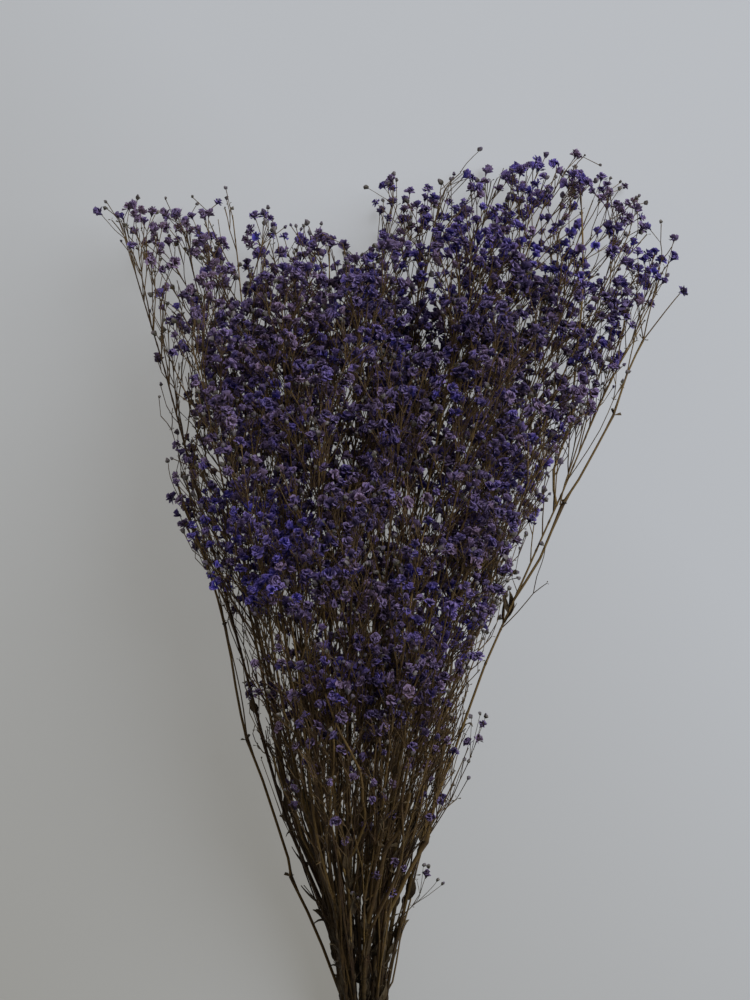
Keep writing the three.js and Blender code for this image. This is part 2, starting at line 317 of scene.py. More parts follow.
def roomAt(index, point):
    places, squares = nearestOnTraces(point)
    apart = np.sqrt(((places - places[index]) ** 2).sum(1))
    apart[index] = 1
    edge = (squares - squares[index]) / (2 * apart)
    edge[index] = 1e9
    return edge.min()


# Where the grown bunch lies in the frame
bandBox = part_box("elastic_band")
leftmost = min(place[0] - baseRadii[i] for i, place in enumerate(bandPlaces))
shift = np.array([
    bandBox[0][0] / mm - (leftmost - bandForm["gap"] - bandForm["thickness"]),
    (bandBox[0][1] + bandBox[1][1]) / 2 / mm,
    0.0,
])
lowCorner = np.array(cadBounds[0]) / mm - shift
highCorner = np.array(cadBounds[1]) / mm - shift
print("bunch laid out, band at", [round(float(v), 1) for v in shift])


# Modelling helpers
def startFresh():
    if bpy.context.object and bpy.context.object.mode != "OBJECT":
        bpy.ops.object.mode_set(mode="OBJECT")
    bpy.ops.object.select_all(action="DESELECT")


def pick(*objects):
    startFresh()
    for obj in objects:
        obj.select_set(True)
    bpy.context.view_layer.objects.active = objects[0]


def editWhole(obj, *steps):
    pick(obj)
    bpy.ops.object.mode_set(mode="EDIT")
    for step, settings in steps:
        bpy.ops.mesh.select_all(action="SELECT")
        step(**settings)
    bpy.ops.object.mode_set(mode="OBJECT")


def moveVertices(obj, test, move=(0, 0, 0), grow=(1, 1, 1)):
    pick(obj)
    bpy.ops.object.mode_set(mode="EDIT")
    bpy.ops.mesh.select_mode(type="VERT")
    bpy.ops.mesh.select_all(action="DESELECT")
    bpy.ops.object.mode_set(mode="OBJECT")
    for vertex in obj.data.vertices:
        vertex.select = test(vertex.co)
    bpy.ops.object.mode_set(mode="EDIT")
    if grow != (1, 1, 1):
        bpy.ops.transform.resize(value=grow, center_override=(0, 0, 0))
    bpy.ops.transform.translate(value=move)
    bpy.ops.object.mode_set(mode="OBJECT")


def applyModifier(obj, kind, **settings):
    pick(obj)
    modifier = obj.modifiers.new(kind.title(), kind)
    for key, value in settings.items():
        setattr(modifier, key, value)
    bpy.ops.object.modifier_apply(modifier=modifier.name)


def giveTone(obj, values):
    tone = obj.data.attributes.get("tone") or obj.data.attributes.new("tone", "FLOAT_COLOR", "POINT")
    filled = np.ones((len(obj.data.vertices), 4))
    filled[:, :3] = values
    tone.data.foreach_set("color", filled.ravel())


def readPattern(obj):
    mesh = obj.data
    tone = np.zeros(len(mesh.vertices) * 4)
    mesh.attributes["tone"].data.foreach_get("color", tone)
    places = np.array([vertex.co[:] for vertex in mesh.vertices])
    return {
        "places": places,
        "tone": tone.reshape(-1, 4)[:, :3],
        "faces": [list(face.vertices) for face in mesh.polygons],
        "materials": [face.material_index for face in mesh.polygons],
    }


def giveBakeMap(obj):
    # every face gets a cell of its own, so that no two share a place on the map
    mesh = obj.data
    faceCount = len(mesh.polygons)
    totals = np.zeros(faceCount, np.int32)
    starts = np.zeros(faceCount, np.int32)
    mesh.polygons.foreach_get("loop_start", starts)
    mesh.polygons.foreach_get("loop_total", totals)
    across = math.ceil(math.sqrt(faceCount))
    corners = np.repeat(totals, totals)
    corner = np.arange(len(mesh.loops)) - np.repeat(starts, totals)
    turn = fullTurn * (corner + 0.5) / corners
    cell = np.repeat(np.arange(faceCount), totals)
    # a face of four corners fills 84 % of its cell, any other lies in a circle of that width
    reach = 0.5 * 0.84 * math.sqrt(2) * np.where(corners == 4, 1, 0.7)
    uv = np.empty((len(mesh.loops), 2))
    uv[:, 0] = (cell % across + 0.5 + reach * np.cos(turn)) / across
    uv[:, 1] = (cell // across + 0.5 + reach * np.sin(turn)) / across
    for old in list(mesh.uv_layers):
        mesh.uv_layers.remove(old)
    mesh.uv_layers.new(name="OFBake").data.foreach_set("uv", uv.ravel())


# One petal, one calyx, one bud and one leaf are modelled, in millimetres as units
petalForm = {
    "length": 3.2,
    "halfWidth": 1.5,
    "shoulder": 2.75,  # how far out it is widest
    "cup": 0.9,
    "keel": 0.5,  # how far the middle of its end hangs below its two shoulders
}


def modelPetal():
    # the point of a three-sided cone becomes the petal's foot, its base the end with the keel
    startFresh()
    bpy.ops.mesh.primitive_cone_add(vertices=3, radius1=1, radius2=0, depth=1)
    petal = bpy.context.object
    lift, wide, shoulder = petalForm["cup"], petalForm["halfWidth"], petalForm["shoulder"]
    side = math.sqrt(0.75)
    homes = (
        ((0, 0, 0.5), (0, 0, 0)),
        ((0, 1, -0.5), (petalForm["length"], 0, lift - petalForm["keel"])),
        ((side, -0.5, -0.5), (shoulder, -wide, lift)),
        ((-side, -0.5, -0.5), (shoulder, wide, lift)),
    )
    far = 10
    for place, home in homes:
        # moved out of the others' way first, then all of them back
        move = [end - start + far * (axis == 2) for axis, (start, end) in enumerate(zip(place, home))]
        moveVertices(petal, lambda co: (co - mathutils.Vector(place)).length < 0.1, move=move)
    moveVertices(petal, lambda co: True, move=(0, 0, -far))
    editWhole(petal, (bpy.ops.mesh.normals_make_consistent, {"inside": False}))
    giveTone(petal, [(0, 0, min(v.co.x / shoulder, 1)) for v in petal.data.vertices])
    return petal


calyxForm = {"width": 2.1, "height": 2.2, "top": 0.5, "rimTone": 0.35}


def modelCalyx():
    startFresh()
    bpy.ops.mesh.primitive_cone_add(
        vertices=4, radius1=0, radius2=calyxForm["width"] / 2, depth=calyxForm["height"],
        location=(0, 0, -calyxForm["height"] / 2 + calyxForm["top"]))
    calyx = bpy.context.object
    bpy.ops.object.transform_apply(location=True, rotation=True, scale=True)
    giveTone(calyx, [(0, 0, calyxForm["rimTone"] if v.co.z > 0 else 0) for v in calyx.data.vertices])
    return calyx


# Each kind of flower: its rings of petals as (how many, steepness, size, foot height)
flowerForms = {
    "open": [(6, 0.25, 1.0, 0.1), (5, 0.8, 1.05, 0.35), (3, 1.25, 0.95, 0.7)],
    "wide": [(6, -0.1, 1.0, 0.3), (5, 0.5, 1.05, 0.45), (3, 1.1, 0.9, 0.6)],
    "ragged": [(6, 0.5, 1.05, 0.0), (5, 1.0, 1.15, 0.35), (2, 1.4, 1.1, 0.7)],
    "closing": [(6, 0.85, 1.05, -0.3), (4, 1.25, 1.15, 0.2)],
    "onesided": [(5, 0.05, 1.0, 0.2), (4, 0.7, 1.1, 0.3), (3, 1.2, 1.1, 0.6)],
}
# and how much its petals differ: in length, width, steepness, place in the ring and roll
petalSpread = {"length": (0.78, 1.15), "width": (0.85, 1.2), "tilt": 0.35, "spin": 0.35, "roll": 0.75}
petalFoot = 0.25  # how far its petals start from a flower's middle


def modelFlower(kind, petal, calyx):
    rng = random.Random(kind)
    parts = []
    for ring, (count, steepness, size, foot) in enumerate(flowerForms[kind]):
        for k in range(count):
            pick(petal)
            bpy.ops.object.duplicate()
            copy = bpy.context.object
            grown = size * rng.uniform(*petalSpread["length"])
            copy.scale = (grown, grown * rng.uniform(*petalSpread["width"]), grown)
            tilt = -(steepness + rng.uniform(-petalSpread["tilt"], petalSpread["tilt"]))
            spin = fullTurn * (k + 0.5 * ring) / count
            spin += rng.uniform(-petalSpread["spin"], petalSpread["spin"])
            copy.rotation_euler = (rng.uniform(-petalSpread["roll"], petalSpread["roll"]), tilt, spin)
            copy.location = (petalFoot * math.cos(spin), petalFoot * math.sin(spin), foot)
            parts.append(copy)
    pick(calyx)
    bpy.ops.object.duplicate()
    calyxCopy = bpy.context.object
    for face in calyxCopy.data.polygons:
        face.material_index = 1
    pick(*parts)
    bpy.ops.object.transform_apply(location=True, rotation=True, scale=True)
    pick(*parts, calyxCopy)
    bpy.ops.object.join()
    return bpy.context.object


budForm = {"width": 3.2, "length": 3.7, "neck": 0.72, "foot": 0.82, "middle": 0.35, "top": 0.85}


def modelBud():
    startFresh()
    width, length = budForm["width"], budForm["length"]
    bpy.ops.mesh.primitive_uv_sphere_add(segments=5, ring_count=4, radius=width / 2)
    bud = bpy.context.object
    moveVertices(bud, lambda co: True, grow=(1, 1, length / width))
    moveVertices(bud, lambda co: co.z > 0.5, grow=(budForm["neck"], budForm["neck"], 1))
    moveVertices(bud, lambda co: co.z < -0.5, grow=(budForm["foot"], budForm["foot"], 1))
    moveVertices(bud, lambda co: True, move=(0, 0, length * budForm["middle"]))
    top = length * budForm["top"]
    giveTone(bud, [(0, 0, min(max(v.co.z / top, 0), 1)) for v in bud.data.vertices])
    for face in bud.data.polygons:
        face.material_index = 1
    return bud


leafForm = {
    "rows": 7,
    "widths": (0.35, 0.8, 1.0, 0.95, 0.75, 0.5, 0.26, 0.05),  # at each row, of its full width
    "thickness": 0.012,
    "fold": 0.03,
    "lowest": 0.3,  # over the table, in millimetres
}


def modelLeaf(curl, twist, halfWidth):
    # a leaf one unit long, from its foot at the origin
    startFresh()
    rows = leafForm["rows"]
    bpy.ops.mesh.primitive_grid_add(x_subdivisions=2, y_subdivisions=rows, size=1)
    leaf = bpy.context.object
    moveVertices(leaf, lambda co: True, move=(0, 0.5, 0))
    for row, width in enumerate(leafForm["widths"]):
        narrow = width * halfWidth * 2
        moveVertices(leaf, lambda co: abs(co.y - row / rows) < 0.02, grow=(narrow, 1, 1))
    moveVertices(leaf, lambda co: abs(co.x) > 0.004, move=(0, 0, leafForm["fold"]))
    giveTone(leaf, [(0, min(max(v.co.y, 0), 1), 0.5 + v.co.x / halfWidth / 2)
                    for v in leaf.data.vertices])
    applyModifier(leaf, "SOLIDIFY", thickness=leafForm["thickness"], offset=0)
    # it stands up while it is twisted and curled, because a bend follows the z axis
    for turn in (math.pi / 2, -math.pi / 2):
        leaf.rotation_euler = (turn, 0, 0)
        pick(leaf)
        bpy.ops.object.transform_apply(location=True, rotation=True, scale=True)
        if turn > 0:
            applyModifier(leaf, "SIMPLE_DEFORM", deform_method="TWIST", deform_axis="Z", angle=twist)
            applyModifier(leaf, "SIMPLE_DEFORM", deform_method="BEND", deform_axis="X", angle=curl)
    for face in leaf.data.polygons:
        face.material_index = 2
    return leaf


bractForm = {"width": 0.2, "curl": 0.35}


def bractFrom(pattern):
    # a bract is the petal's shape, one unit long along y and much narrower
    places = pattern["places"]
    scaled = np.stack([
        places[:, 1] * bractForm["width"],
        places[:, 0] / petalForm["length"],
        places[:, 2] * bractForm["curl"],
    ], axis=1)
    tone = np.zeros((len(places), 3))
    tone[:, 1] = scaled[:, 1]
    tone[:, 2] = 0.5 + places[:, 1] / petalForm["halfWidth"] / 2
    faces = [list(reversed(face)) for face in pattern["faces"]]
    return {"places": scaled, "tone": tone, "faces": faces, "materials": [2] * len(faces)}


# curl, twist and half width of each kind of leaf
leafCurls = {
    "flatLeaf": (0.25, 0.3, 0.1),
    "curledLeaf": (1.5, 0.7, 0.1),
    "rolledLeaf": (2.6, -1.1, 0.1),
    "broadLeaf": (1.0, 1.5, 0.19),
}
petal, calyx = modelPetal(), modelCalyx()
models = {kind: modelFlower(kind, petal, calyx) for kind in flowerForms}
models["bud"] = modelBud()
models.update({kind: modelLeaf(*form) for kind, form in leafCurls.items()})
patterns = {"bract": bractFrom(readPattern(petal))}
patterns.update({kind: readPattern(model) for kind, model in models.items()})
for obj in (petal, calyx, *models.values()):
    bpy.data.objects.remove(obj)
print("patterns:", {kind: len(pattern["faces"]) for kind, pattern in patterns.items()})

# How a stem branches. Every third pair of branches is one that the frame has too.
growth = {
    "seed": 4100,
    "branchSpread": 21,
    "branchRise": 36,
    "cymeRadius": 7.8,
    "frameSpacing": 48,
    "nodesPerPair": 3,
    "moreTries": 24,  # for more branches where the bunch is thickest
    "fullSprays": 0.75,  # the share of the in-between branches with as many flowers as the rest
    "restingReach": 5,
    "branchRadius": 0.42,
    "twigRadius": 0.27,
    "stalkRadius": 0.19,
    "twigLength": 12.5,
    "cymeDrop": 12,  # a branch ends this far below the middle of its flowers
    "shrink": 0.8,  # of the branches that the frame leaves out
    "shrinkSpread": (0.9, 1.25),
    "scales": (1.1, 0.7),  # of the lowest branches and of the highest
    "scaleSpread": (0.85, 1.1),
    "moreScales": (0.5, 0.9),
    "moreHeights": (0, 0.85),
    "leastScale": 0.4,  # smaller than this it isn't grown
    "fitStep": 0.85,
    "bendRoom": 0.8,
    # the room around a branch, as a share of its flowers' radius
    "air": {"frame": 0.95, "between": 0.45, "more": 0.3},
    "asideTurns": (0, 0.5, -0.5, 1, -1, 1.7, -1.7),
    "overhang": 7,  # how far flowers may stand out of the frame's box
    "crowding": 0.76,  # under 1 neighbouring flowers press into each other
    "baseDrop": 13,  # a branch leaves its stem this far below the frame's
    "edgeBuds": 0.52,  # the share of buds at the outline
    "bareStalks": 0.32,  # the share of flowerless stalks that are still there
    "thinFlank": (190, 435),  # the heights where few flowers and many buds grow near the sides
    "thinEdge": 20,
    "budEdge": 13,
    "topBudEdge": 2,
    "thinSides": 0.42,
    "thinTop": 0.42,  # and how many fewer grow near the upper edge
    "darkTwigs": 1.6,  # over 1 more twigs are dark than golden
    "outlineSlack": (-4, 3),  # how far past the outline a flower may stand
    "budSlack": 3,  # and how much further a bud
}
bloomForm = {
    "flowerRadius": 3.2,
    "flowerSizes": (0.9, 1.25),
    "budRadius": 1.7,
    "budSizes": (0.62, 0.85),
    "fatBudSizes": (0.95, 1.2),
    "fatBudShare": 0.3,
    "placedSizes": {"flower": (0.9, 1.1), "bud": (0.7, 1.0)},  # of those placed one by one
    "foot": 1.15,  # how far beyond its stalk a flower's middle is
    "budFoot": 0.5,
    "middle": 0.3,  # the middle of the space that it takes, as a share of its radius
    "crumple": 0.34,
    "crumpleWave": 2.3,
    "crumpleSpins": (5.0, 9.0, 13.0),
    "tries": 4,
    "stray": 0.24,  # from the way of its twig, and more at each try
    "moreStray": 0.16,
    "stalkLengths": (0.85, 1.2),
    "turnAside": 0.5,
    "flatness": 0.6,  # flowers face along the bunch more than up from the table
    "dye": 0.31,
    "dyeLevel": 420,  # the height where that is so
    "dyeRise": 0.0014,  # the dye is stronger higher up, by this much for a millimetre
    "sprayDye": 0.26,  # how much sprays differ
    "flowerDye": 0.2,  # and the flowers of one spray
    "fade": 0.22,
    "sprayFade": (-0.22, 0.3),
    "flowerFade": 0.22,
    "fadedShare": 0.16,  # of all flowers, paler than their neighbours by the next number
    "faded": 0.45,
    "spraySizes": (0.92, 1.06),
    "kinds": ("open", "wide", "ragged", "closing", "onesided"),
    "kindShares": (0.26, 0.2, 0.22, 0.2, 0.12),
}
# where the dye shows strongest: x from the band, height above it, radius, strength
bluePlaces = (
    (-70, 355, 34, 0.6),
    (-78, 312, 26, 0.7),
    (-40, 330, 24, 0.35),
    (45, 305, 24, 0.6),
    (95, 384, 26, 0.5),
    (117, 545, 24, 0.35),
    (70, 528, 26, 0.35),
    (-15, 258, 20, 0.5),
    (165, 505, 22, 0.35),
    (28, 352, 18, 0.4),
    (84, 470, 36, -0.4),
    (70, 410, 34, -0.25),
    (52, 288, 18, 0.5),
    (-16, 276, 14, 0.5),
)
palePlaces = (
    (-130, 520, 42, 0.5),
    (-40, 480, 30, 0.35),
    (40, 392, 24, 0.35),
    (0, 430, 24, 0.25),
    (-20, 300, 26, 0.25),
    (140, 560, 24, 0.25),
    (-110, 410, 26, 0.3),
    (-95, 500, 40, 0.15),
    (40, 440, 52, -0.3),
    (125, 505, 45, -0.2),
)


def placeWeight(places, point):
    weight = 0
    for x, height, radius, strength in places:
        away = ((point[0] - x) ** 2 + (point[1] - height) ** 2) / radius ** 2
        weight += strength * math.exp(-away)
    return weight


# The flowers that stand already, by the cell of space that they are in
taken = {}
cellSize = 7.5


def cellOf(point):
    return tuple(int(math.floor(value / cellSize)) for value in point)


def isFree(point, radius):
    x, y, z = cellOf(point)
    for i in (x - 1, x, x + 1):
        for j in (y - 1, y, y + 1):
            for k in (z - 1, z, z + 1):
                for other, otherRadius in taken.get((i, j, k), ()):
                    least = (radius + otherRadius) * growth["crowding"]
                    dx, dy, dz = point[0] - other[0], point[1] - other[1], point[2] - other[2]
                    if dx * dx + dy * dy + dz * dz < least * least:
                        return False
    return True


def isInside(point, radius):
    over = growth["overhang"] - radius
    if point[2] < radius:
        return False
    return bool(np.all(point > lowCorner - over) and np.all(point < highCorner + over))


def jitter(rng, amount):
    return np.array([rng.uniform(-1, 1), rng.uniform(-1, 1), rng.uniform(-1, 1)]) * amount


# The outline of the flowers from above, in millimetres from the band: height, left, right
flowerEdges = (
    (96, -14, 20),
    (132, -34, 30),
    (156, -40, 37),
    (186, -48, 50),
    (216, -66, 64),
    (234, -72, 68),
    (246, -77, 65),
    (276, -80, 68),
    (291, -84, 74),
    (306, -88, 80),
    (321, -94, 87),
    (336, -100, 94),
    (351, -107, 98),
    (366, -113, 110),
    (381, -116, 113),
    (396, -117, 113),
    (411, -118, 128),
    (426, -120, 150),
    (456, -123, 160),
    (486, -125, 177),
    (504, -126, 183),
    (516, -140, 184),
    (531, -157, 186),
    (546, -150, 172),
    (580, -130, 120),
)
# and its upper edge: x, height
flowerTops = (
    (-160, 541), (-147, 545), (-123, 549), (-111, 541), (-87, 549), (-63, 545), (-51, 529),
    (-15, 526), (-3, 513), (7, 516), (10, 556), (45, 556), (57, 563), (81, 570), (129, 572),
    (153, 562), (165, 545), (177, 531), (189, 526),
)
# the share of the stalks that bear a flower, by height
flowerShares = (
    (150, 0.02), (190, 0.05), (215, 0.1), (240, 0.26), (265, 0.42), (290, 0.62), (315, 0.85), (345, 1),
)
# places with fewer or more of them: x, height, half width, half height, change of the share
sharePlaces = (
    (-17, 402, 10, 40, -0.5),
    (0, 440, 13, 18, -0.3),
    (50, 440, 13, 20, -0.4),
    (58, 380, 8, 38, -0.45),
    (-38, 360, 18, 10, -0.55),
    (30, 352, 20, 19, -0.75),
    (0, 330, 22, 12, -0.6),
    (-25, 283, 28, 15, -0.35),
    (-45, 262, 16, 22, -0.2),
    (-108, 415, 12, 70, -0.55),
    (-84, 282, 12, 26, -0.3),
    (43, 272, 12, 12, -0.3),
    (70, 480, 7, 34, -0.5),
    (133, 510, 7, 28, -0.5),
    (-64, 246, 12, 12, 0.4),
    (10, 250, 28, 14, 0.4),
    (28, 262, 14, 12, 0.2),
    (62, 222, 14, 10, 0.3),
    (72, 298, 12, 16, 0.5),
    (130, 520, 50, 50, -0.36),
    (85, 405, 28, 50, -0.16),
    (20, 530, 45, 32, -0.36),
    (-110, 520, 40, 40, -0.1),
    (-60, 500, 14, 14, -0.35),
    (22, 345, 16, 24, -0.3),
    (60, 266, 12, 14, 0.4),
)
eye = {"height": 1620, "plane": 60, "x": 6, "y": 366}  # the outline is seen from here


def seenAt(point):
    nearer = (eye["height"] - eye["plane"]) / (eye["height"] - point[2])
    return eye["x"] + (point[0] - eye["x"]) * nearer, eye["y"] + (point[1] - eye["y"]) * nearer


def isInOutline(point, slack):
    x, height = seenAt(point)
    heights, lefts, rights = zip(*flowerEdges)
    left, right = np.interp(height, heights, lefts), np.interp(height, heights, rights)
    if not left - slack < x < right + slack:
        return False
    return height < np.interp(x, *zip(*flowerTops)) + slack


# 1 in the middle of an oval place, less further off
def ovalAt(x, height, placeX, placeHeight, halfWidth, halfHeight):
    away = ((x - placeX) / halfWidth) ** 2 + ((height - placeHeight) / halfHeight) ** 2
    return math.exp(-away)


def flowerShareAt(point):
    x, height = seenAt(point)
    share = np.interp(height, *zip(*flowerShares))
    for *oval, change in sharePlaces:
        share += change * ovalAt(x, height, *oval)
    low, high = growth["thinFlank"]
    if low < height and not isInOutline(point, -growth["thinEdge"]):
        share -= growth["thinSides"] if height < high else growth["thinTop"]
    return share


# where the bunch is thickest: x, height, half width, half height
clumpPlaces = (
    (5, 440, 44, 34),
    (84, 500, 18, 36),
    (66, 450, 18, 34),
    (-66, 440, 18, 24),
    (-25, 470, 26, 26),
)


def clumpShareAt(point):
    return sum(ovalAt(*seenAt(point), *oval) for oval in clumpPlaces)


def growBloom(plant, start, direction, length, look, rng, budShare):
    if rng.random() > flowerShareAt(start):
        # a stalk that has lost its flower, or broke off with it
        way = direction * length
        if rng.random() < growth["bareStalks"] and isInOutline(start + way, -stalkForm["bareInside"]):
            aim = unit(direction + jitter(rng, stalkForm["bareStray"]))
            growStalk(plant, start, start + aim * length * rng.uniform(*stalkForm["bareLengths"]), rng)
            return rng.random() < stalkForm["bareKept"]
        return False
    isBud = rng.random() < look.get("buds", budShare)
    low, high = growth["thinFlank"]
    edge = growth["budEdge"] if low < start[1] < high else growth["topBudEdge"]
    if not isInOutline(start + direction * length * stalkForm["edgeReach"], -edge):
        isBud = rng.random() < growth["edgeBuds"]
        if isBud:
            length = length * rng.uniform(*stalkForm["edgeLengths"])
    sizes = bloomForm["budSizes"] if isBud else bloomForm["flowerSizes"]
    if isBud and rng.random() < bloomForm["fatBudShare"]:
        sizes = bloomForm["fatBudSizes"]
    size = rng.uniform(*sizes) * look["size"]
    radius = size * bloomForm["budRadius" if isBud else "flowerRadius"]
    kind = "bud" if isBud else rng.choices(bloomForm["kinds"], bloomForm["kindShares"])[0]
    slack = rng.uniform(*growth["outlineSlack"]) + (growth["budSlack"] if isBud else 0)
    for attempt in range(bloomForm["tries"]):
        stray = bloomForm["stray"] + bloomForm["moreStray"] * attempt
        aim = unit(direction + jitter(rng, stray))
        end = start + aim * length * rng.uniform(*bloomForm["stalkLengths"])
        origin = end + aim * bloomForm["budFoot" if isBud else "foot"] * size
        center = origin + aim * bloomForm["middle"] * radius
        if isInside(center, radius) and isInOutline(center, slack) and isFree(center, radius):
            break
    else:
        return False
    taken.setdefault(cellOf(center), []).append((center, radius))
    growStalk(plant, start, end, rng)
    addBloom(plant, kind, origin, aim, size, look, rng)
    return True


def addBloom(plant, kind, origin, aim, size, look, rng):
    facing = unit((aim + jitter(rng, bloomForm["turnAside"])) * (1, 1, bloomForm["flatness"]))
    spread = bloomForm["flowerDye"]
    dye = look["dye"] + placeWeight(bluePlaces, origin) + rng.uniform(-spread, spread)
    spread = bloomForm["flowerFade"]
    fade = look["fade"] + placeWeight(palePlaces, origin) + rng.uniform(-spread, spread)
    if rng.random() < bloomForm["fadedShare"]:
        fade += bloomForm["faded"]
    tone = (min(max(dye, 0), 1), min(max(fade, 0), 1))
    plant["blooms"].append((kind, origin, facing, size, rng.uniform(0, fullTurn), tone))


def placeBloom(plant, end, aim, isBud, look, rng):
    size = rng.uniform(*bloomForm["placedSizes"]["bud" if isBud else "flower"])
    kind = "bud" if isBud else rng.choice(bloomForm["kinds"])
    radius = size * bloomForm["budRadius" if isBud else "flowerRadius"]
    origin = end + aim * bloomForm["budFoot" if isBud else "foot"] * size
    taken.setdefault(cellOf(origin), []).append((origin, radius))
    addBloom(plant, kind, origin, aim, size, look, rng)


stalkForm = {
    "thickness": (0.85, 1.15),
    "flare": 1.25,  # at the flower
    "tones": ((0.9, 0.2), (1, 0)),  # how young and how knotty it is at its foot and its top
    "twigWander": 0.06,
    "twigFlares": (1.2, 1.3),
    "twigTones": ((0.6, 0.5), (0.75, 0), (0.8, 0.4)),
    "lowest": 0.6,  # over the table
    "twigLowest": 0.8,
    "forkLowest": 1.5,
    "bareInside": 5,
    "bareStray": 0.3,
    "bareLengths": (0.3, 0.9),
    "bareKept": 0.7,  # the share of bare stalks whose twig stays when it has no others
    "edgeReach": 1.4,
    "edgeLengths": (1, 1.5),  # longer stalks for the buds at the outline
}


def shadeOf(rng):
    return rng.random() ** growth["darkTwigs"]


def growStalk(plant, start, end, rng):
    thick = growth["stalkRadius"] * rng.uniform(*stalkForm["thickness"])
    shade = shadeOf(rng)
    end[2] = max(end[2], stalkForm["lowest"])
    tones = [(shade, *tone) for tone in stalkForm["tones"]]
    plant["twig"].append((np.array([start, end]), [thick, thick * stalkForm["flare"]], tones))


def marksOf(plant):
    return {key: len(grown) for key, grown in plant.items()}


def cutBack(plant, marks):
    for key, count in marks.items():
        del plant[key][count:]


def growTwig(plant, start, end, radii, rng):
    aside = np.cross(end - start, jitter(rng, stalkForm["twigWander"]))
    points = np.array([start, (start + end) / 2 + aside, end])
    points[:, 2] = np.maximum(points[:, 2], stalkForm["twigLowest"])
    shade = shadeOf(rng)
    tones = [(shade, *tone) for tone in stalkForm["twigTones"]]
    low, high = stalkForm["twigFlares"]
    plant["twig"].append((points, [radii[0] * low, (radii[0] + radii[1]) / 2, radii[1] * high], tones))
    return unit(end - points[1])


def acrossOf(heading):
    side = unit(np.cross((0.13, 0.21, 1.0), heading))
    return side, np.cross(heading, side)


def outwardsOf(side, over, turn):
    return side * math.cos(turn) + over * math.sin(turn)


cymeForm = {
    "middleLengths": (0.75, 1.1),  # as shares of the twig's own length
    "sideLengths": (0.75, 1.25),
    "twigLengths": (0.8, 1.15),
    "shorter": 0.85,  # each fork than the one before
    "thinner": 0.8,
    "leans": (0.24, 0.52),
    "swing": 0.45,
    "upwards": 0.1,  # how much the arms lean along the stem
    "buds": {"middle": 0.14, "last": 0.4, "side": 0.34},
    "bractShare": 0.5,
    "bractLength": 2.0,
    "bractLengths": (0.6, 1.2),
    "bractLeans": (0.5, 1.3),
}


# A cluster forks in twos, and the flower in each fork opens first
def growCyme(plant, start, heading, level, length, look, rng, turn):
    buds = cymeForm["buds"]
    middleLength = length * rng.uniform(*cymeForm["middleLengths"])
    middleBuds = buds["middle" if level else "last"]
    grown = growBloom(plant, start, heading, middleLength, look, rng, middleBuds)
    if level == 0:
        return grown
    side, over = acrossOf(heading)
    swing, shorter = cymeForm["swing"], length * cymeForm["shorter"]
    for half in (0, 1):
        outwards = outwardsOf(side, over, turn + math.pi * half + rng.uniform(-swing, swing))
        lean = rng.uniform(*cymeForm["leans"])
        upwards = look["run"] * cymeForm["upwards"]
        aim = unit(heading * math.cos(lean) + outwards * math.sin(lean) + upwards)
        if level == 1:
            sideLength = length * rng.uniform(*cymeForm["sideLengths"])
            grown += growBloom(plant, start, aim, sideLength, look, rng, buds["side"])
            continue
        end = start + aim * length * rng.uniform(*cymeForm["twigLengths"])
        end[2] = max(end[2], stalkForm["forkLowest"])
        twig = growth["twigRadius"]
        marks = marksOf(plant)
        onwards = growTwig(plant, start, end, (twig, twig * cymeForm["thinner"]), rng)
        if rng.random() < cymeForm["bractShare"]:
            growBracts(plant, end, onwards, rng, cymeForm["bractLength"])
        further = growCyme(plant, end, onwards, level - 1, shorter, look, rng, turn + math.pi / 2)
        if not further:
            cutBack(plant, marks)
        grown += further
    return grown


def growBracts(plant, place, heading, rng, length):
    side, over = acrossOf(heading)
    turn = rng.uniform(0, fullTurn)
    for half in (0, 1):
        outwards = outwardsOf(side, over, turn + math.pi * half)
        along = unit(heading + outwards * rng.uniform(*cymeForm["bractLeans"]))
        size = length * rng.uniform(*cymeForm["bractLengths"])
        plant["leaves"].append(("bract", place, along, outwards, size, rng.random()))


sprayForm = {
    "rings": 5,
    "wander": 0.35,
    "lowest": 1.2,
    "thicknesses": (0.7, 1),  # of a small spray and of a large one
    "stemShare": 0.8,  # no thicker than this share of its stem
    "flares": (1.15, 1.3),
    "lengths": (0.75, 1.05),
    "youth": 0.35,  # at its foot, and more at each ring
    "moreYouth": 0.08,
    "endKnots": 0.6,
    "bractLength": 2.4,
    "bareLengths": (0.8, 1.9),
    "bareInside": 4,
    "bareStray": 0.35,
    "sideTwigs": ((3, 0), (2, 1)),  # the ring where each starts, and its side
    "sideShares": (0.6, 0.85),  # of a small spray and of a full one
    "sideSwing": 0.6,
    "sideLeans": (0.3, 0.55),
    "sideLengths": (0.9, 1.5),
    "sideThinning": 0.75,
    "sideTurn": 1.2,
}


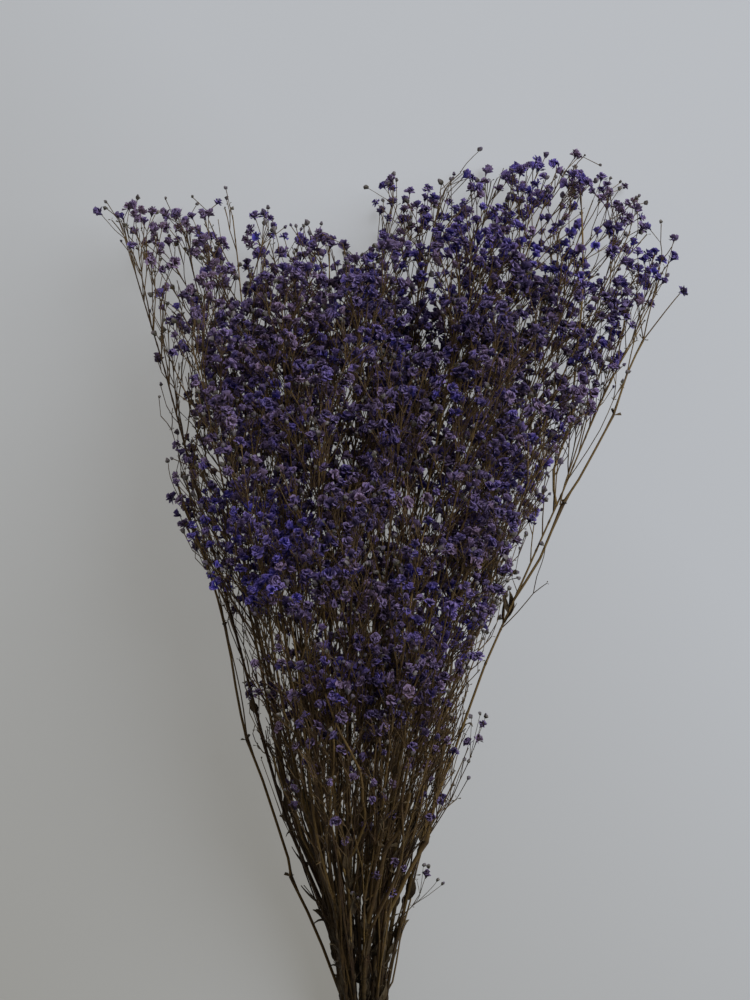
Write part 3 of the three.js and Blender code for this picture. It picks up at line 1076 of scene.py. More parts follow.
def growSpray(plant, base, bend, end, size, level, look, rng):
    form = sprayForm
    marks = marksOf(plant)
    heading = unit(end - bend)
    top = end - heading * growth["cymeDrop"] * size
    rings, full = form["rings"], level > 1
    parts = np.linspace(0, 1, rings)[:, None]
    points = (1 - parts) ** 2 * base + 2 * parts * (1 - parts) * bend + parts ** 2 * top
    points[1:-1] += np.array([jitter(rng, form["wander"]) for _ in range(rings - 2)])
    points[:, 2] = np.maximum(points[:, 2], form["lowest"])
    thick = growth["branchRadius"] * between(*form["thicknesses"], min(size, 1))
    radii = np.linspace(min(thick, look["stem"] * form["stemShare"]), growth["twigRadius"], rings)
    radii[0] *= form["flares"][0]
    radii[-1] *= form["flares"][1]
    shade = shadeOf(rng)
    tones = [(shade, form["youth"] + form["moreYouth"] * k, form["endKnots"] if k in (0, rings - 1) else 0)
             for k in range(rings)]
    plant["branch"].append((points, radii, tones))
    turn = rng.uniform(0, fullTurn)
    length = growth["twigLength"] * between(*form["lengths"], min(size, 1))
    growBracts(plant, points[-1], heading, rng, form["bractLength"])
    grown = growCyme(plant, points[-1], heading, level, length, look, rng, turn)
    side, over = acrossOf(heading)
    for bare in range(2 if full else 1):
        ring = rng.choice(range(1, rings - 1))
        aim = unit(heading + jitter(rng, form["bareStray"]))
        tip = points[ring] + aim * length * rng.uniform(*form["bareLengths"])
        if isInOutline(tip, -form["bareInside"]):
            growStalk(plant, points[ring], tip, rng)
    for ring, half in form["sideTwigs"]:
        if rng.random() > form["sideShares"][full]:
            continue
        around = turn + math.pi * half + rng.uniform(-form["sideSwing"], form["sideSwing"])
        aim = unit(heading + outwardsOf(side, over, around) * rng.uniform(*form["sideLeans"]))
        tip = points[ring] + aim * length * rng.uniform(*form["sideLengths"])
        tip[2] = max(tip[2], stalkForm["forkLowest"])
        twig = growth["twigRadius"]
        twigMarks = marksOf(plant)
        onwards = growTwig(plant, points[ring], tip, (twig, twig * form["sideThinning"]), rng)
        further = growCyme(plant, tip, onwards, 1, length * cymeForm["shorter"], look, rng,
                           turn + form["sideTurn"])
        if not further:
            cutBack(plant, twigMarks)
        grown += further
    if not grown:
        cutBack(plant, marks)
    return grown


def crossFrame(index, height):
    run = unit(stemPoint(index, height + 3) - stemPoint(index, height - 3))
    side = unit(np.cross((0, 0, 1), run))
    return run, side, np.cross(run, side)


# The frame's branches have this shape too
branchForm = {
    "radiusShares": (0.55, 1),
    "radiusSpread": (0.9, 1.1),
    "bendOut": 0.62,
    "bendUp": 0.42,
    "rises": (0.45, 0.55),
}


def branchShape(index, height, turn, size):
    form = branchForm
    base = stemPoint(index, height)
    run, side, over = crossFrame(index, height)
    outwards = outwardsOf(side, over, turn)
    foot = stemPoint(index, height - growth["baseDrop"] * size)
    radius = growth["cymeRadius"] * between(*form["radiusShares"], size)
    radius *= between(*form["radiusSpread"], chance(index, height, 5))
    spread, rise = growth["branchSpread"], growth["branchRise"]
    bend = base + outwards * spread * size * form["bendOut"] + run * rise * size * form["bendUp"]
    low, more = form["rises"]
    end = base + outwards * spread * size + run * rise * (low + more * size)
    if end[2] < radius + growth["restingReach"]:
        end[2] = radius
    return foot, bend, end, radius


def fittedBranch(index, height, turn, scale, air):
    size = scale
    while size > growth["leastScale"]:
        for aside in growth["asideTurns"]:
            foot, bend, end, radius = branchShape(index, height, turn + aside, size)
            if not isInOutline(end, -1):
                continue
            if roomAt(index, end) > radius * air and roomAt(index, bend) > growth["bendRoom"]:
                return foot, bend, end, size
        size *= growth["fitStep"]
    return None


def lookAt(index, height, point, rng):
    size = rng.uniform(*bloomForm["spraySizes"])
    dye = bloomForm["dye"] + (point[1] - bloomForm["dyeLevel"]) * bloomForm["dyeRise"]
    return {
        "run": crossFrame(index, height)[0],
        "stem": stemRadiusAt(index, height),
        "size": size,
        "dye": dye + rng.uniform(-bloomForm["sprayDye"], bloomForm["sprayDye"]),
        "fade": bloomForm["fade"] + rng.uniform(*bloomForm["sprayFade"]),
    }


def growHead(plant, index, rng):
    reach, flowering = stems[index][2:4]
    pairs = int(flowering / growth["frameSpacing"] + 0.5)
    nodes = pairs * growth["nodesPerPair"]
    knots = []
    for node in range(nodes):
        up = node / nodes
        height = math.floor(reach - flowering * (1 - up) + 0.5)
        pair, inBetween = divmod(node, growth["nodesPerPair"])
        turn = math.pi / 2 * pair + chance(index, pair, 3)
        if inBetween:
            turn = math.pi / 2 * (node + 0.5) + chance(index, node, 13)
        scale = between(*growth["scales"], up * up)
        scale *= between(*growth["scaleSpread"], chance(index, pair, 4))
        if inBetween:
            scale *= growth["shrink"] * rng.uniform(*growth["shrinkSpread"])
        knots.append(height)
        for half in (0, 1):
            air = growth["air"]["between" if inBetween else "frame"]
            level = 1 if inBetween and rng.random() > growth["fullSprays"] else 2
            fitted = fittedBranch(index, height + half, turn + math.pi * half, scale, air)
            if fitted:
                growSpray(plant, *fitted, level, lookAt(index, height, fitted[2], rng), rng)
    for more in range(growth["moreTries"]):
        height = math.floor(reach - flowering * rng.uniform(*growth["moreHeights"]))
        turn = rng.uniform(0, fullTurn)
        scale = rng.uniform(*growth["moreScales"])
        fitted = fittedBranch(index, height, turn, scale, growth["air"]["more"])
        if fitted and rng.random() < clumpShareAt(fitted[2]):
            growSpray(plant, *fitted, 2, lookAt(index, height, fitted[2], rng), rng)
    return knots


# Thin shoots leave the lower knots and run up beside their stem. The first three of each stem
# start low down and cross other stems: spreads, drifts and shades are theirs, then the others'.
shootForm = {
    "perStem": 6,
    "low": 3,
    "lowStarts": (35, 125),
    "starts": (0.2, 0.85),  # shares of the stem's flowerless part
    "lengths": (90, 210),
    "topGap": 30,
    "spreads": ((3, 10), (5, 14)),
    "drifts": (34, 9),
    "parting": (1.9, 4),  # how soon a shoot is fully away from its stem, and how soon it leaves it
    # the low shoots' small share is painted shade: they are made dark down among the other stems
    "shades": (0.2, 1),
    "youth": (0.2, 0.4),  # at its foot, and how much more at its top
    "knotTone": 0.6,
    "points": 12,
    "leastPoints": 6,
    "wander": 0.25,
    "lowest": 1.5,
    "outlineFrom": 3,
    "tipFrom": 8,  # from this point on it ends inside the outline
    "slacks": (2, -3),  # how far past the outline it may go, and how far its tip may
    "thickness": (0.9, 1.5),
    "knotSwell": 1.25,
    "bareTop": 190,  # below this height fewer sprays grow on it
    "sprayShares": (0.3, 0.75),  # below that and above it
    "spraySizes": (0.4, 0.75),
    "sprayBend": (6, 9),  # how far out from the shoot, and how far along it
    "sprayEnd": (11, 27),
    "topLean": 0.1,
}


def growShoots(plant, index, rng):
    form = shootForm
    reach, flowering = stems[index][2:4]
    bare = reach - flowering
    knots = []
    for shoot in range(form["perStem"]):
        rest = int(shoot >= form["low"])
        start = bare * rng.uniform(*form["starts"]) if rest else rng.uniform(*form["lowStarts"])
        length = min(rng.uniform(*form["lengths"]), reach - start - form["topGap"])
        turn = rng.uniform(0, fullTurn)
        spread = rng.uniform(*form["spreads"][rest])
        drift = rng.uniform(-form["drifts"][rest], form["drifts"][rest])
        knots.append(start)
        points = []
        full, soon = form["parting"]
        for k in range(form["points"]):
            part = k / (form["points"] - 1)
            run, side, over = crossFrame(index, start + length * part)
            away = spread * math.sin(min(part * full, math.pi / 2)) * min(part * soon, 1)
            place = stemPoint(index, start + length * part) + outwardsOf(side, over, turn) * away
            place = place + side * drift * part * part
            place += jitter(rng, form["wander"] if k else 0)
            place[2] = max(place[2], form["lowest"])
            if k > form["outlineFrom"] and not isInOutline(place, form["slacks"][k >= form["tipFrom"]]):
                break
            points.append(place)
        count = len(points)
        if count < form["leastPoints"]:
            continue
        points = np.array(points)
        thick = growth["branchRadius"] * rng.uniform(*form["thickness"])
        # painted shade makes the low shoots dark
        shade = shadeOf(rng) * form["shades"][rest]
        radii = np.linspace(thick, growth["twigRadius"], count)
        knotRings = (count // 3, count * 2 // 3)
        for k in knotRings:
            radii[k] *= form["knotSwell"]
        low, more = form["youth"]
        tones = [(shade, low + more * k / count, form["knotTone"] if k in knotRings else 0)
                 for k in range(count)]
        plant["branch"].append((points, radii, tones))
        for k in range(count - form["leastPoints"], count):
            heading = unit(points[k] - points[k - 1])
            growShootSprays(plant, index, points[k], heading, k == count - 1, rng)
    return knots


def growShootSprays(plant, index, point, heading, isTop, rng):
    form = shootForm
    look = lookAt(index, point[1], point, rng)
    side, over = acrossOf(heading)
    around = rng.uniform(0, fullTurn)
    share = form["sprayShares"][point[1] >= form["bareTop"]]
    for half in (0, 1):
        if isTop and half or not isTop and rng.random() > share:
            continue
        around += math.pi * half
        outwards = outwardsOf(side, over, around)
        size = rng.uniform(*form["spraySizes"])
        lean = form["topLean"] if isTop else 1
        bend, end = [point + outwards * out * size * lean + heading * up * size
                     for out, up in (form["sprayBend"], form["sprayEnd"])]
        growSpray(plant, point, bend, end, size, 1, look, rng)


# Twigs and leaves that show. Each starts on its stem at a height, or at a point beside it, and
# runs through places given as x and height as they are seen from above; a third value is how
# thick the knot there is. Each row is: stem, start, how far in front of its stem it begins and
# ends, radius, path, ending, shade
sideTwigs = (
    # the fork at the right, and the fine bare twig that hangs beside it
    (16, 307, (0, 3), 0.8, ((105, 331), (118.5, 363, 1.7), (128, 378), (139, 398), (149, 417, 1.3),
                            (157, 441), (167, 462, 1.3)), "bare", 0.75),
    (16, (117, 363), (1, 6), 0.45, ((120, 376), (129, 403), (136, 430, 1.3), (147, 456)), "spray", 0.7),
    (16, (120, 376), (2, 9), 0.32, ((127, 386), (141, 408), (149, 426)), "spray", 0.3),
    (16, 363, (0, 6), 0.75, ((113, 384), (123, 410, 1.4), (125, 432), (128, 462, 1.3), (131, 500),
                             (130, 540)), "spray", 0.95),
    (16, (123, 410), (1, 6), 0.36, ((128, 440), (137, 470)), "spray", 0.6),
    (16, (167, 462), (6, 8), 0.4, ((180, 479), (189, 490)), "flower", 0.5),
    (16, (167, 462), (6, 12), 0.4, ((173, 488), (180, 506)), "spray", 0.5),
    (16, (180, 500), (10, 12), 0.25, ((185, 521),), "flower", 0.5),
    (16, (167, 462), (6, 3), 0.35, ((165, 476), (163, 492)), "spray", 0.4),
    (16, (157, 441), (5, 10), 0.35, ((163, 468), (172, 492), (178, 510)), "spray", 0.6),
    (16, 289, (0, 4), 0.34, ((92, 299), (101, 310), (109, 316)), "bare", 0.2),
    (16, (101, 310), (2, 3), 0.28, ((103, 320), (106, 328), (108, 336), (107, 339)), "bud", 0.1),
    (16, 291, (0, 3), 0.28, ((84, 305), (86, 312)), "bud", 0.3),
    (16, 311, (0, 3), 0.26, ((88, 320),), "flower", 0.3),
    # the bare stem at the left edge, and the thin ones beside it
    (5, 60, (-2, 6), 0.95, ((-25.5, 98), (-34.5, 119), (-44.5, 140, 1.5), (-46, 151), (-61.5, 198),
                            (-70.5, 222, 1.5), (-74.5, 237), (-77.5, 254), (-84, 290, 1.3), (-93, 322),
                            (-104, 350, 1.3), (-112, 374)), "budSpray", 0.9),
    (5, (-84, 290), (4, 10), 0.35, ((-88, 312), (-97, 345), (-108, 380), (-116, 408)), "budSpray", 0.3),
    (5, (-104, 350), (5, 10), 0.3, ((-111, 366), (-117, 380), (-118, 388)), "bud", 0.5),
    (5, (-93, 322), (5, 12), 0.3, ((-97, 338), (-104, 362), (-108, 384)), "budSpray", 0.4),
    (5, (-70.5, 222), (5, 10), 0.45, ((-73, 240), (-77, 262), (-84, 290)), "spray", 0.5),
    (17, 104, (0, 4), 0.32, ((-27, 121), (-32, 136), (-37.5, 150, 1.4), (-44.5, 165), (-49.5, 175.5, 1.4),
                             (-62, 210)), "spray", 0.15),
    (17, (-37.5, 150), (3, 8), 0.28, ((-40, 162), (-44, 182), (-50, 206)), "spray", 0.2),
    (17, (-49.5, 175.5), (3, 6), 0.24, ((-50, 190), (-56, 214)), "bare", 0.1),
    # long stems that cross the others in the middle
    (17, 96, (4, 9), 0.75, ((-16.5, 123), (-28.5, 147, 1.3), (-37.5, 163), (-42, 180, 1.3), (-49.5, 193),
                            (-55, 212)), "spray", 0.8),
    (22, 124, (2, 8), 0.8, ((-28, 160), (-32, 186, 1.3), (-34, 210), (-37.5, 234, 1.4), (-40, 264),
                            (-44, 290)), "spray", 0.95),
    (22, (-37.5, 234), (6, 10), 0.4, ((-44, 258), (-50, 280), (-53, 300)), "spray", 0.9),
    (22, (-40, 264), (7, 10), 0.4, ((-34, 284), (-31, 300)), "spray", 0.85),
    (23, 96, (0, 8), 0.75, ((-10, 132), (-17, 158, 1.3), (-21, 178), (-19, 206, 1.3), (-19, 240)),
     "spray", 0.9),
    (23, 150, (2, 10), 0.95, ((0, 172), (-1.5, 186, 1.2), (-3, 204), (-15, 226, 1.3), (-24, 250)),
     "spray", 0.75),
    (18, 100, (8, 14), 1.5, ((-26, 146), (-29, 170, 1.15), (-29.5, 215, 1.1), (-31, 254)), "bare", 0.25),
    (24, 88, (2, 8), 0.5, ((-0.6, 125, 1.4), (4.5, 150), (6, 170, 1.3), (5, 200), (7, 222)), "spray", 0.9),
    (24, (-0.6, 125), (3, 8), 0.42, ((9, 134), (12, 156), (16, 177, 1.3), (19, 194), (24, 222)),
     "spray", 0.7),
    (24, (-0.6, 125), (3, 9), 0.4, ((-2, 147), (-8, 172), (-10, 200)), "spray", 0.6),
    (24, 112, (4, 8), 1.4, ((9, 142), (13, 158, 1.3), (21, 168), (27, 190)), "bare", 0.2),
    (21, 92, (2, 12), 1.45, ((12, 113), (21, 132), (28.5, 147), (36, 161, 2.1), (40.5, 177),
                             (45, 207, 1.3), (49.5, 229)), "spray", 0.6),
    (21, (36, 161), (8, 14), 0.6, ((37, 186), (36, 214, 1.3), (40, 240)), "spray", 0.75),
    (10, 60, (-1, 6), 0.6, ((16.5, 77), (21, 102), (27, 125), (30, 141, 1.3), (33, 152), (36, 161)),
     "bare", 0.5),
    (25, 120, (2, 8), 0.55, ((24, 150), (33, 180, 1.3), (38, 210), (47, 240)), "spray", 0.85),
    (18, 70, (4, 10), 0.6, ((-4, 96), (6, 118), (14, 140, 1.3), (19, 160), (25, 190)), "spray", 0.1),
    (20, 74, (4, 10), 0.55, ((1, 96), (-8, 124), (-17, 150, 1.3), (-26, 178), (-34, 204)), "spray", 0.12),
    (21, (40.5, 177), (9, 14), 0.5, ((46, 200, 1.3), (52, 222), (55, 240)), "spray", 0.4),
    (21, (45, 207), (9, 14), 0.36, ((51, 224), (58, 238)), "spray", 0.3),
    (24, 104, (3, 12), 0.9, ((10, 122), (19, 141, 1.3), (23, 160), (22, 184, 1.3), (26, 206)),
     "spray", 0.3),
    # the loose sprig at the right
    (21, (36, 161), (8, 16), 0.36, ((43, 172), (51, 185, 1.3), (57, 198), (63, 211)), "bare", 0.2),
    (21, (63, 211), (16, 18), 0.22, ((67, 221),), "flower", 0.1),
    (21, (65, 216), (17, 18), 0.2, ((69, 229),), "flower", 0.1),
    (21, (63, 211), (16, 20), 0.2, ((64, 235),), "bud", 0.1),
    (21, (63, 211), (16, 19), 0.2, ((69, 237),), "bud", 0.1),
    (21, (65, 216), (17, 20), 0.2, ((72, 235),), "bud", 0.1),
    (21, (57, 198), (14, 16), 0.22, ((62, 208),), "bud", 0.1),
    (21, (57, 198), (14, 18), 0.22, ((60, 212), (62, 219)), "flower", 0.1),
    (21, (51, 185), (12, 15), 0.24, ((52, 200), (53, 213)), "flower", 0.15),
    (21, (51, 185), (12, 16), 0.22, ((56, 199), (59, 209)), "bud", 0.1),
    (21, (43, 172), (10, 14), 0.26, ((46, 190), (55, 215)), "spray", 0.15),
    (21, (43, 172), (10, 12), 0.22, ((43, 185), (40, 196)), "flower", 0.15),
    (21, (40, 168), (10, 12), 0.22, ((39, 180), (37, 187)), "flower", 0.15),
    (21, (43, 172), (10, 13), 0.22, ((42, 192), (38, 206)), "flower", 0.15),
    # the sprig low at the right
    (10, 102, (6, 14), 0.4, ((21, 115), (28, 122)), "bare", 0.3),
    (10, (28, 122), (14, 17), 0.24, ((33, 130), (36, 139)), "flower", 0.2),
    (10, (33, 130), (15, 19), 0.18, ((38, 145),), "bud", 0.2),
    (10, (33, 130), (15, 16), 0.18, ((35, 146),), "bud", 0.2),
    (10, (28, 122), (14, 18), 0.2, ((37, 130), (43, 137)), "bud", 0.2),
    (10, (29, 123), (14, 15), 0.2, ((38, 129), (46, 135)), "bud", 0.2),
    (10, (29, 123), (14, 16), 0.2, ((33, 129), (31, 138)), "bare", 0.2),
    # single flowers low down between the stems
    (23, 128, (2, 5), 0.25, ((-10, 150), (-11, 160)), "flower", 0.2),
    (24, 118, (3, 5), 0.25, ((6, 130), (7, 138)), "flower", 0.2),
    (24, 126, (3, 5), 0.25, ((13, 138), (17, 147)), "flower", 0.2),
    (25, 118, (3, 5), 0.25, ((19, 132), (22, 143)), "flower", 0.2),
    (25, 106, (3, 5), 0.25, ((14, 118), (15.5, 129)), "flower", 0.2),
    (24, 108, (3, 5), 0.22, ((-2, 118), (-4, 126)), "bud", 0.2),
    (24, 110, (3, 5), 0.22, ((-5, 122), (-8, 129)), "bud", 0.2),
    # sprigs that stand out at the top
    (8, 508, (0, 4), 0.42, ((31, 518), (23, 528)), "bare", 0.5),
    (8, (23, 528), (4, 6), 0.24, ((14, 537), (8, 543)), "flower", 0.4),
    (8, (23, 528), (4, 7), 0.28, ((19, 538), (17, 544)), "bare", 0.4),
    (8, (17, 544), (7, 8), 0.2, ((10, 548), (2, 553)), "bud", 0.4),
    (8, (17, 544), (7, 8), 0.2, ((14, 550), (12, 553)), "flower", 0.4),
    (8, (17, 544), (7, 9), 0.2, ((16, 556),), "flower", 0.4),
    (8, (17, 544), (7, 6), 0.2, ((17, 560),), "bud", 0.4),
    (8, 533, (0, 4), 0.36, ((46, 544), (49, 554), (57, 562)), "bare", 0.4),
    (8, (57, 562), (4, 6), 0.24, ((61, 568), (68, 575)), "bud", 0.3),
    (8, (49, 554), (4, 6), 0.24, ((56, 557), (62, 559)), "flower", 0.3),
    # and at the upper left
    (5, 470, (0, 4), 0.4, ((-134, 500), (-143, 522), (-152, 534)), "spray", 0.3),
    (5, (-143, 522), (3, 6), 0.24, ((-150, 528), (-158, 537)), "flower", 0.3),
    (5, (-134, 500), (2, 6), 0.26, ((-138, 508), (-139, 516)), "flower", 0.3),
)
# and single leaves: stem, height, which way (1 right, -1 left), length, kind, lean, shade
sideLeaves = (
    (16, 299, -1, 15, "flatLeaf", 0.85, 0.35),
    (16, 297, 1, 8, "rolledLeaf", 0.3, 0.15),
    (5, 141, 1, 7, "rolledLeaf", 1.2, 0.05),
    (5, 143, -1, 5, "curledLeaf", 0.5, 0.2),
    (17, 117, -1, 9, "curledLeaf", 2.2, 0.1),
    (24, 90, 1, 23, "flatLeaf", 0.1, 0.6),
    (16, 104, 1, 8, "rolledLeaf", 0.9, 0.05),
    (16, 142, -1, 7, "curledLeaf", 0.6, 0.1),
    (16, 161, 1, 7, "curledLeaf", 0.4, 0.7),
    (16, 161, -1, 6, "curledLeaf", 0.5, 0.6),
    (10, 74, 1, 9, "rolledLeaf", 0.25, 0.8),
    (10, 72, -1, 8, "curledLeaf", 0.3, 0.7),
    (5, 222, -1, 8, "curledLeaf", 0.3, 0.3),
)


def seenPoint(x, height, z):
    nearer = (eye["height"] - eye["plane"]) / (eye["height"] - z)
    return np.array([eye["x"] + (x - eye["x"]) / nearer, eye["y"] + (height - eye["y"]) / nearer, z])


def smoothed(points):
    # a point more between every two, on a curve through all of them
    before = np.vstack([points[:1], points[:-2]])
    after = np.vstack([points[2:], points[-1:]])
    more = np.empty((2 * len(points) - 1, 3))
    more[::2] = points
    more[1::2] = (9 * (points[:-1] + points[1:]) - before - after) / 16
    return more


sideForm = {
    "wander": 0.15,
    "lowest": 1.5,
    "thinning": 0.68,  # its top's thickness as a share of its foot's
    "youth": (0.4, 0.3),  # at its foot, and how much more at its top
    "knotTone": 3,
    "stemFrom": 0.7,  # thicker than this it is as round as a stem and has its bark
    "branchFrom": 0.3,
    "bractKnots": 1.25,  # a knot thicker than this has bracts
    "knotBracts": (2.5, 3),  # their length, and how much more on a thick twig
    "endBracts": {"spray": 2.2, "budSpray": 2.2, "bare": 1.8},
    "sprayLength": 0.8,
    "buds": 0.8,  # the share of buds in a budSpray
    "leafDepth": 0.6,
    "leafTilt": 0.4,
}


def growSides(plant, index, rng):
    form = sideForm
    knots = []
    for stem, start, lifts, thick, path, ending, shade in sideTwigs:
        if stem != index:
            continue
        if isinstance(start, tuple):
            points = [seenPoint(*start, stemPoint(index, start[1])[2] + lifts[0])]
        else:
            knots.append(start)
            points = [stemPoint(index, start)]
        swells = [1]
        for k, (x, height, *knot) in enumerate(path):
            level = stemPoint(index, height)[2] + between(*lifts, (k + 1) / len(path))
            points.append(seenPoint(x, height, max(level, form["lowest"])))
            swells += [1, knot[0] if knot else 1]
        points = smoothed(np.array(points))
        points[1:-1] += np.array([jitter(rng, form["wander"]) for _ in range(len(points) - 2)])
        last = len(points) - 1
        low, more = form["youth"]
        radii = [thick * between(1, form["thinning"], k / last) * swell for k, swell in enumerate(swells)]
        tones = [(shade, low + more * k / last, min((swell - 1) * form["knotTone"], 1))
                 for k, swell in enumerate(swells)]
        kind = "stem" if thick > form["stemFrom"] else "branch" if thick > form["branchFrom"] else "twig"
        plant[kind].append((points, radii, tones))
        length, more = form["knotBracts"]
        for place, swell in zip(points, swells):
            if swell > form["bractKnots"]:
                growBracts(plant, place, unit(points[-1] - points[0]), rng, length + more * thick)
        heading = unit(points[-1] - points[-2])
        look = lookAt(index, points[-1][1], points[-1], rng)
        if ending in ("flower", "bud"):
            placeBloom(plant, points[-1], heading, ending == "bud", look, rng)
            continue
        if ending == "budSpray":
            look["buds"] = form["buds"]
        growBracts(plant, points[-1], heading, rng, form["endBracts"][ending])
        if ending != "bare":
            length = growth["twigLength"] * form["sprayLength"]
            growCyme(plant, points[-1], heading, 2, length, look, rng, rng.uniform(0, 3))
    for stem, height, way, length, kind, lean, shade in sideLeaves:
        if stem == index:
            run, side, over = crossFrame(index, height)
            outwards = side * way if side[0] > 0 else -side * way
            place = stemPoint(index, height) + over * stemRadiusAt(index, height) * form["leafDepth"]
            facing = outwards * form["leafTilt"] + over
            growLeaf(plant, place, run, outwards, length, kind, lean, shade, facing)
            knots.append(height)
    return knots


def growLeaf(plant, place, run, outwards, length, kind, lean, shade, facing):
    plant["leaves"].append((kind, place, unit(run + outwards * lean), unit(facing), length, shade))


def outwardsFrom(index, height):
    middle = sum(stemPoint(other, height) for other in range(len(stems))) / len(stems)
    away = stemPoint(index, height) - middle
    away[1] = 0
    return unit(away)


# Leaves at the knots, dead ones that cling to the stems low down, and those that the frame has
dryLeaves = {
    "firstKnot": (15, 45),  # above the cut end
    "topGap": 20,
    "bandHalf": 14,  # there are no knots under the band
    "shares": (0.3, 0.62),  # of the leaves that are left near the band and above it
    "aboveBand": 20,
    "swing": 0.6,
    "lengths": (8, 20),
    "leans": (0.15, 0.8),
    "tilt": 0.7,
    "dead": (6, 20),  # how many on a stem underneath and on one on top
    "deadHeights": (30, 185),
    "deadLengths": (7, 19),
    "deadLeans": (0.05, 0.6),
    "deadKinds": ("curledLeaf", "rolledLeaf", "broadLeaf"),
    "deadDepth": 0.5,
    "deadShade": 0.5,
    "deadTilt": 0.8,
    "frameLengths": (9, 16),
    "frameLean": 0.5,
}


def growKnotLeaves(plant, index, knots, rng):
    form = dryLeaves
    reach, flowering = stems[index][2:4]
    height = -stemForm["tailLength"] + rng.uniform(*form["firstKnot"])
    while height < reach - flowering - form["topGap"]:
        if abs(height) > form["bandHalf"]:
            knots.append(height)
            for half in (0, 1):
                if rng.random() < form["shares"][height > form["aboveBand"]]:
                    run, side, over = crossFrame(index, height)
                    around = rng.uniform(-form["swing"], form["swing"]) + math.pi * half
                    outwards = outwardsOf(side, over, around)
                    kind = rng.choice(list(leafCurls))
                    length = rng.uniform(*form["lengths"])
                    growLeaf(plant, stemPoint(index, height), run, outwards, length, kind,
                             rng.uniform(*form["leans"]), rng.random(), outwards + over * form["tilt"])
        height += rng.uniform(*stemForm["bareKnots"])


def growDeadLeaves(plant, index, rng):
    form = dryLeaves
    for leaf in range(round(between(*form["dead"], stems[index][1]))):
        height = rng.uniform(*form["deadHeights"])
        run, side, over = crossFrame(index, height)
        outwards = outwardsOf(side, over, rng.uniform(0, fullTurn))
        place = stemPoint(index, height) + outwards * stemRadiusAt(index, height) * form["deadDepth"]
        kind = rng.choice(form["deadKinds"])
        growLeaf(plant, place, run, outwards, rng.uniform(*form["deadLengths"]), kind,
                 rng.uniform(*form["deadLeans"]), rng.random() * form["deadShade"],
                 outwards + over + jitter(rng, form["deadTilt"]))


def growPlant(index):
    rng = random.Random(growth["seed"] + index)
    plant = {"stem": [], "branch": [], "twig": [], "blooms": [], "leaves": []}
    reach, flowering, leafHeight = stems[index][2:]
    knots = growSides(plant, index, rng)
    knots += growHead(plant, index, rng)
    top = stemPoint(index, reach)
    run = crossFrame(index, reach - 3)[0]
    look = lookAt(index, reach, top, rng)
    growCyme(plant, top - run * 3, run, 2, growth["twigLength"], look, rng, rng.uniform(0, 3))
    knots += growShoots(plant, index, rng)
    growKnotLeaves(plant, index, knots, rng)
    growDeadLeaves(plant, index, rng)
    if leafHeight:
        length = between(*dryLeaves["frameLengths"], chance(index, 10))
        run, outwards = crossFrame(index, leafHeight)[0], outwardsFrom(index, leafHeight)
        growLeaf(plant, stemPoint(index, leafHeight), run, outwards, length, "flatLeaf",
                 dryLeaves["frameLean"], rng.random(), outwards)
        knots.append(leafHeight)
    plant["stem"].append(mainStem(index, sorted(knots), rng))
    return plant


def mainStem(index, knots, rng):
    cutEnd, reach = traces[index][0][1], stems[index][2]
    half = stemForm["knotHalf"]
    count = int((reach - cutEnd) / stemForm["step"])
    heights = {round(h, 2): 0 for h in np.linspace(cutEnd, reach, count)}
    for knot in knots:
        # a knot takes the place of the rings beside it
        near = [h for h in heights if abs(h - knot) < stemForm["knotRoom"] * half and heights[h] == 0]
        for h in near:
            if cutEnd + 1 < h < reach - 1:
                del heights[h]
        for step, swell in ((-half, 0.001), (0, 1), (half, 0.001)):
            if cutEnd + 3 < knot + step < reach - 1:
                heights[round(knot + step, 2)] = max(swell, heights.get(round(knot + step, 2), 0))
    points, radii, tones = [], [], []
    shade = shadeOf(rng)
    # painted shade: a main stem is darker towards the band, where stems hide each other, paler again below
    # it, and the stems at the left flank get less of it
    palest = stemForm["flankLevel"] if stems[index][0] < stemForm["flank"] else 0
    start, rise = stemForm["tailTone"]
    for h in sorted(heights):
        level = max(h, (start - h) * rise, palest)
        swell = 1 if heights[h] >= 1 else 0
        points.append(stemPoint(index, h))
        radii.append(stemRadiusAt(index, h) * (stemForm["knotSwell"] if swell else 1))
        paleness = between(stemForm["darkest"], 1, min(level / stemForm["fullTone"], 1))
        tones.append((shade * paleness, stemForm["youth"] * level / reach, swell))
    return np.array(points), radii, tones


def stampAll(items, stampOne):
    # every item is a copy of a pattern, with points of its own
    places, faces, materials, tones, first = [], [], [], [], 0
    for item in items:
        pattern, placed, tone = stampOne(item)
        places.append(placed)
        tones.append(tone)
        faces += [[corner + first for corner in face] for face in pattern["faces"]]
        materials += pattern["materials"]
        first += len(placed)
    return np.concatenate(places), faces, materials, np.concatenate(tones)


def stampBloom(bloom):
    kind, origin, aim, size, spin, (dye, fade) = bloom
    pattern = patterns[kind]
    xAxis = outwardsOf(*acrossOf(aim), spin)
    turns = spin * np.array(bloomForm["crumpleSpins"])
    wave = np.sin(pattern["places"][:, [1, 2, 0]] * bloomForm["crumpleWave"] + turns)
    local = (pattern["places"] + wave * bloomForm["crumple"]) * size
    placed = local @ np.array([xAxis, np.cross(aim, xAxis), aim]) + origin
    tone = pattern["tone"].copy()
    tone[:, :2] = dye, fade
    return pattern, placed, tone


def stampLeaf(leaf):
    kind, place, along, outwards, length, shade = leaf
    pattern = patterns[kind]
    flat = unit(np.cross(along, outwards))
    placed = (pattern["places"] * length) @ np.array([flat, along, np.cross(flat, along)]) + place
    placed[:, 2] = np.maximum(placed[:, 2], leafForm["lowest"])
    tone = pattern["tone"].copy()
    tone[:, 0] = shade
    return pattern, placed, tone


def meshObject(name, places, faces, materials, tones, looks):
    mesh = bpy.data.meshes.new(name)
    mesh.from_pydata((places + shift) * mm, [], faces)
    mesh.polygons.foreach_set("material_index", materials)
    for look in looks:
        mesh.materials.append(look)
    obj = bpy.data.objects.new(name, mesh)
    bpy.context.scene.collection.objects.link(obj)
    giveTone(obj, tones)
    return obj


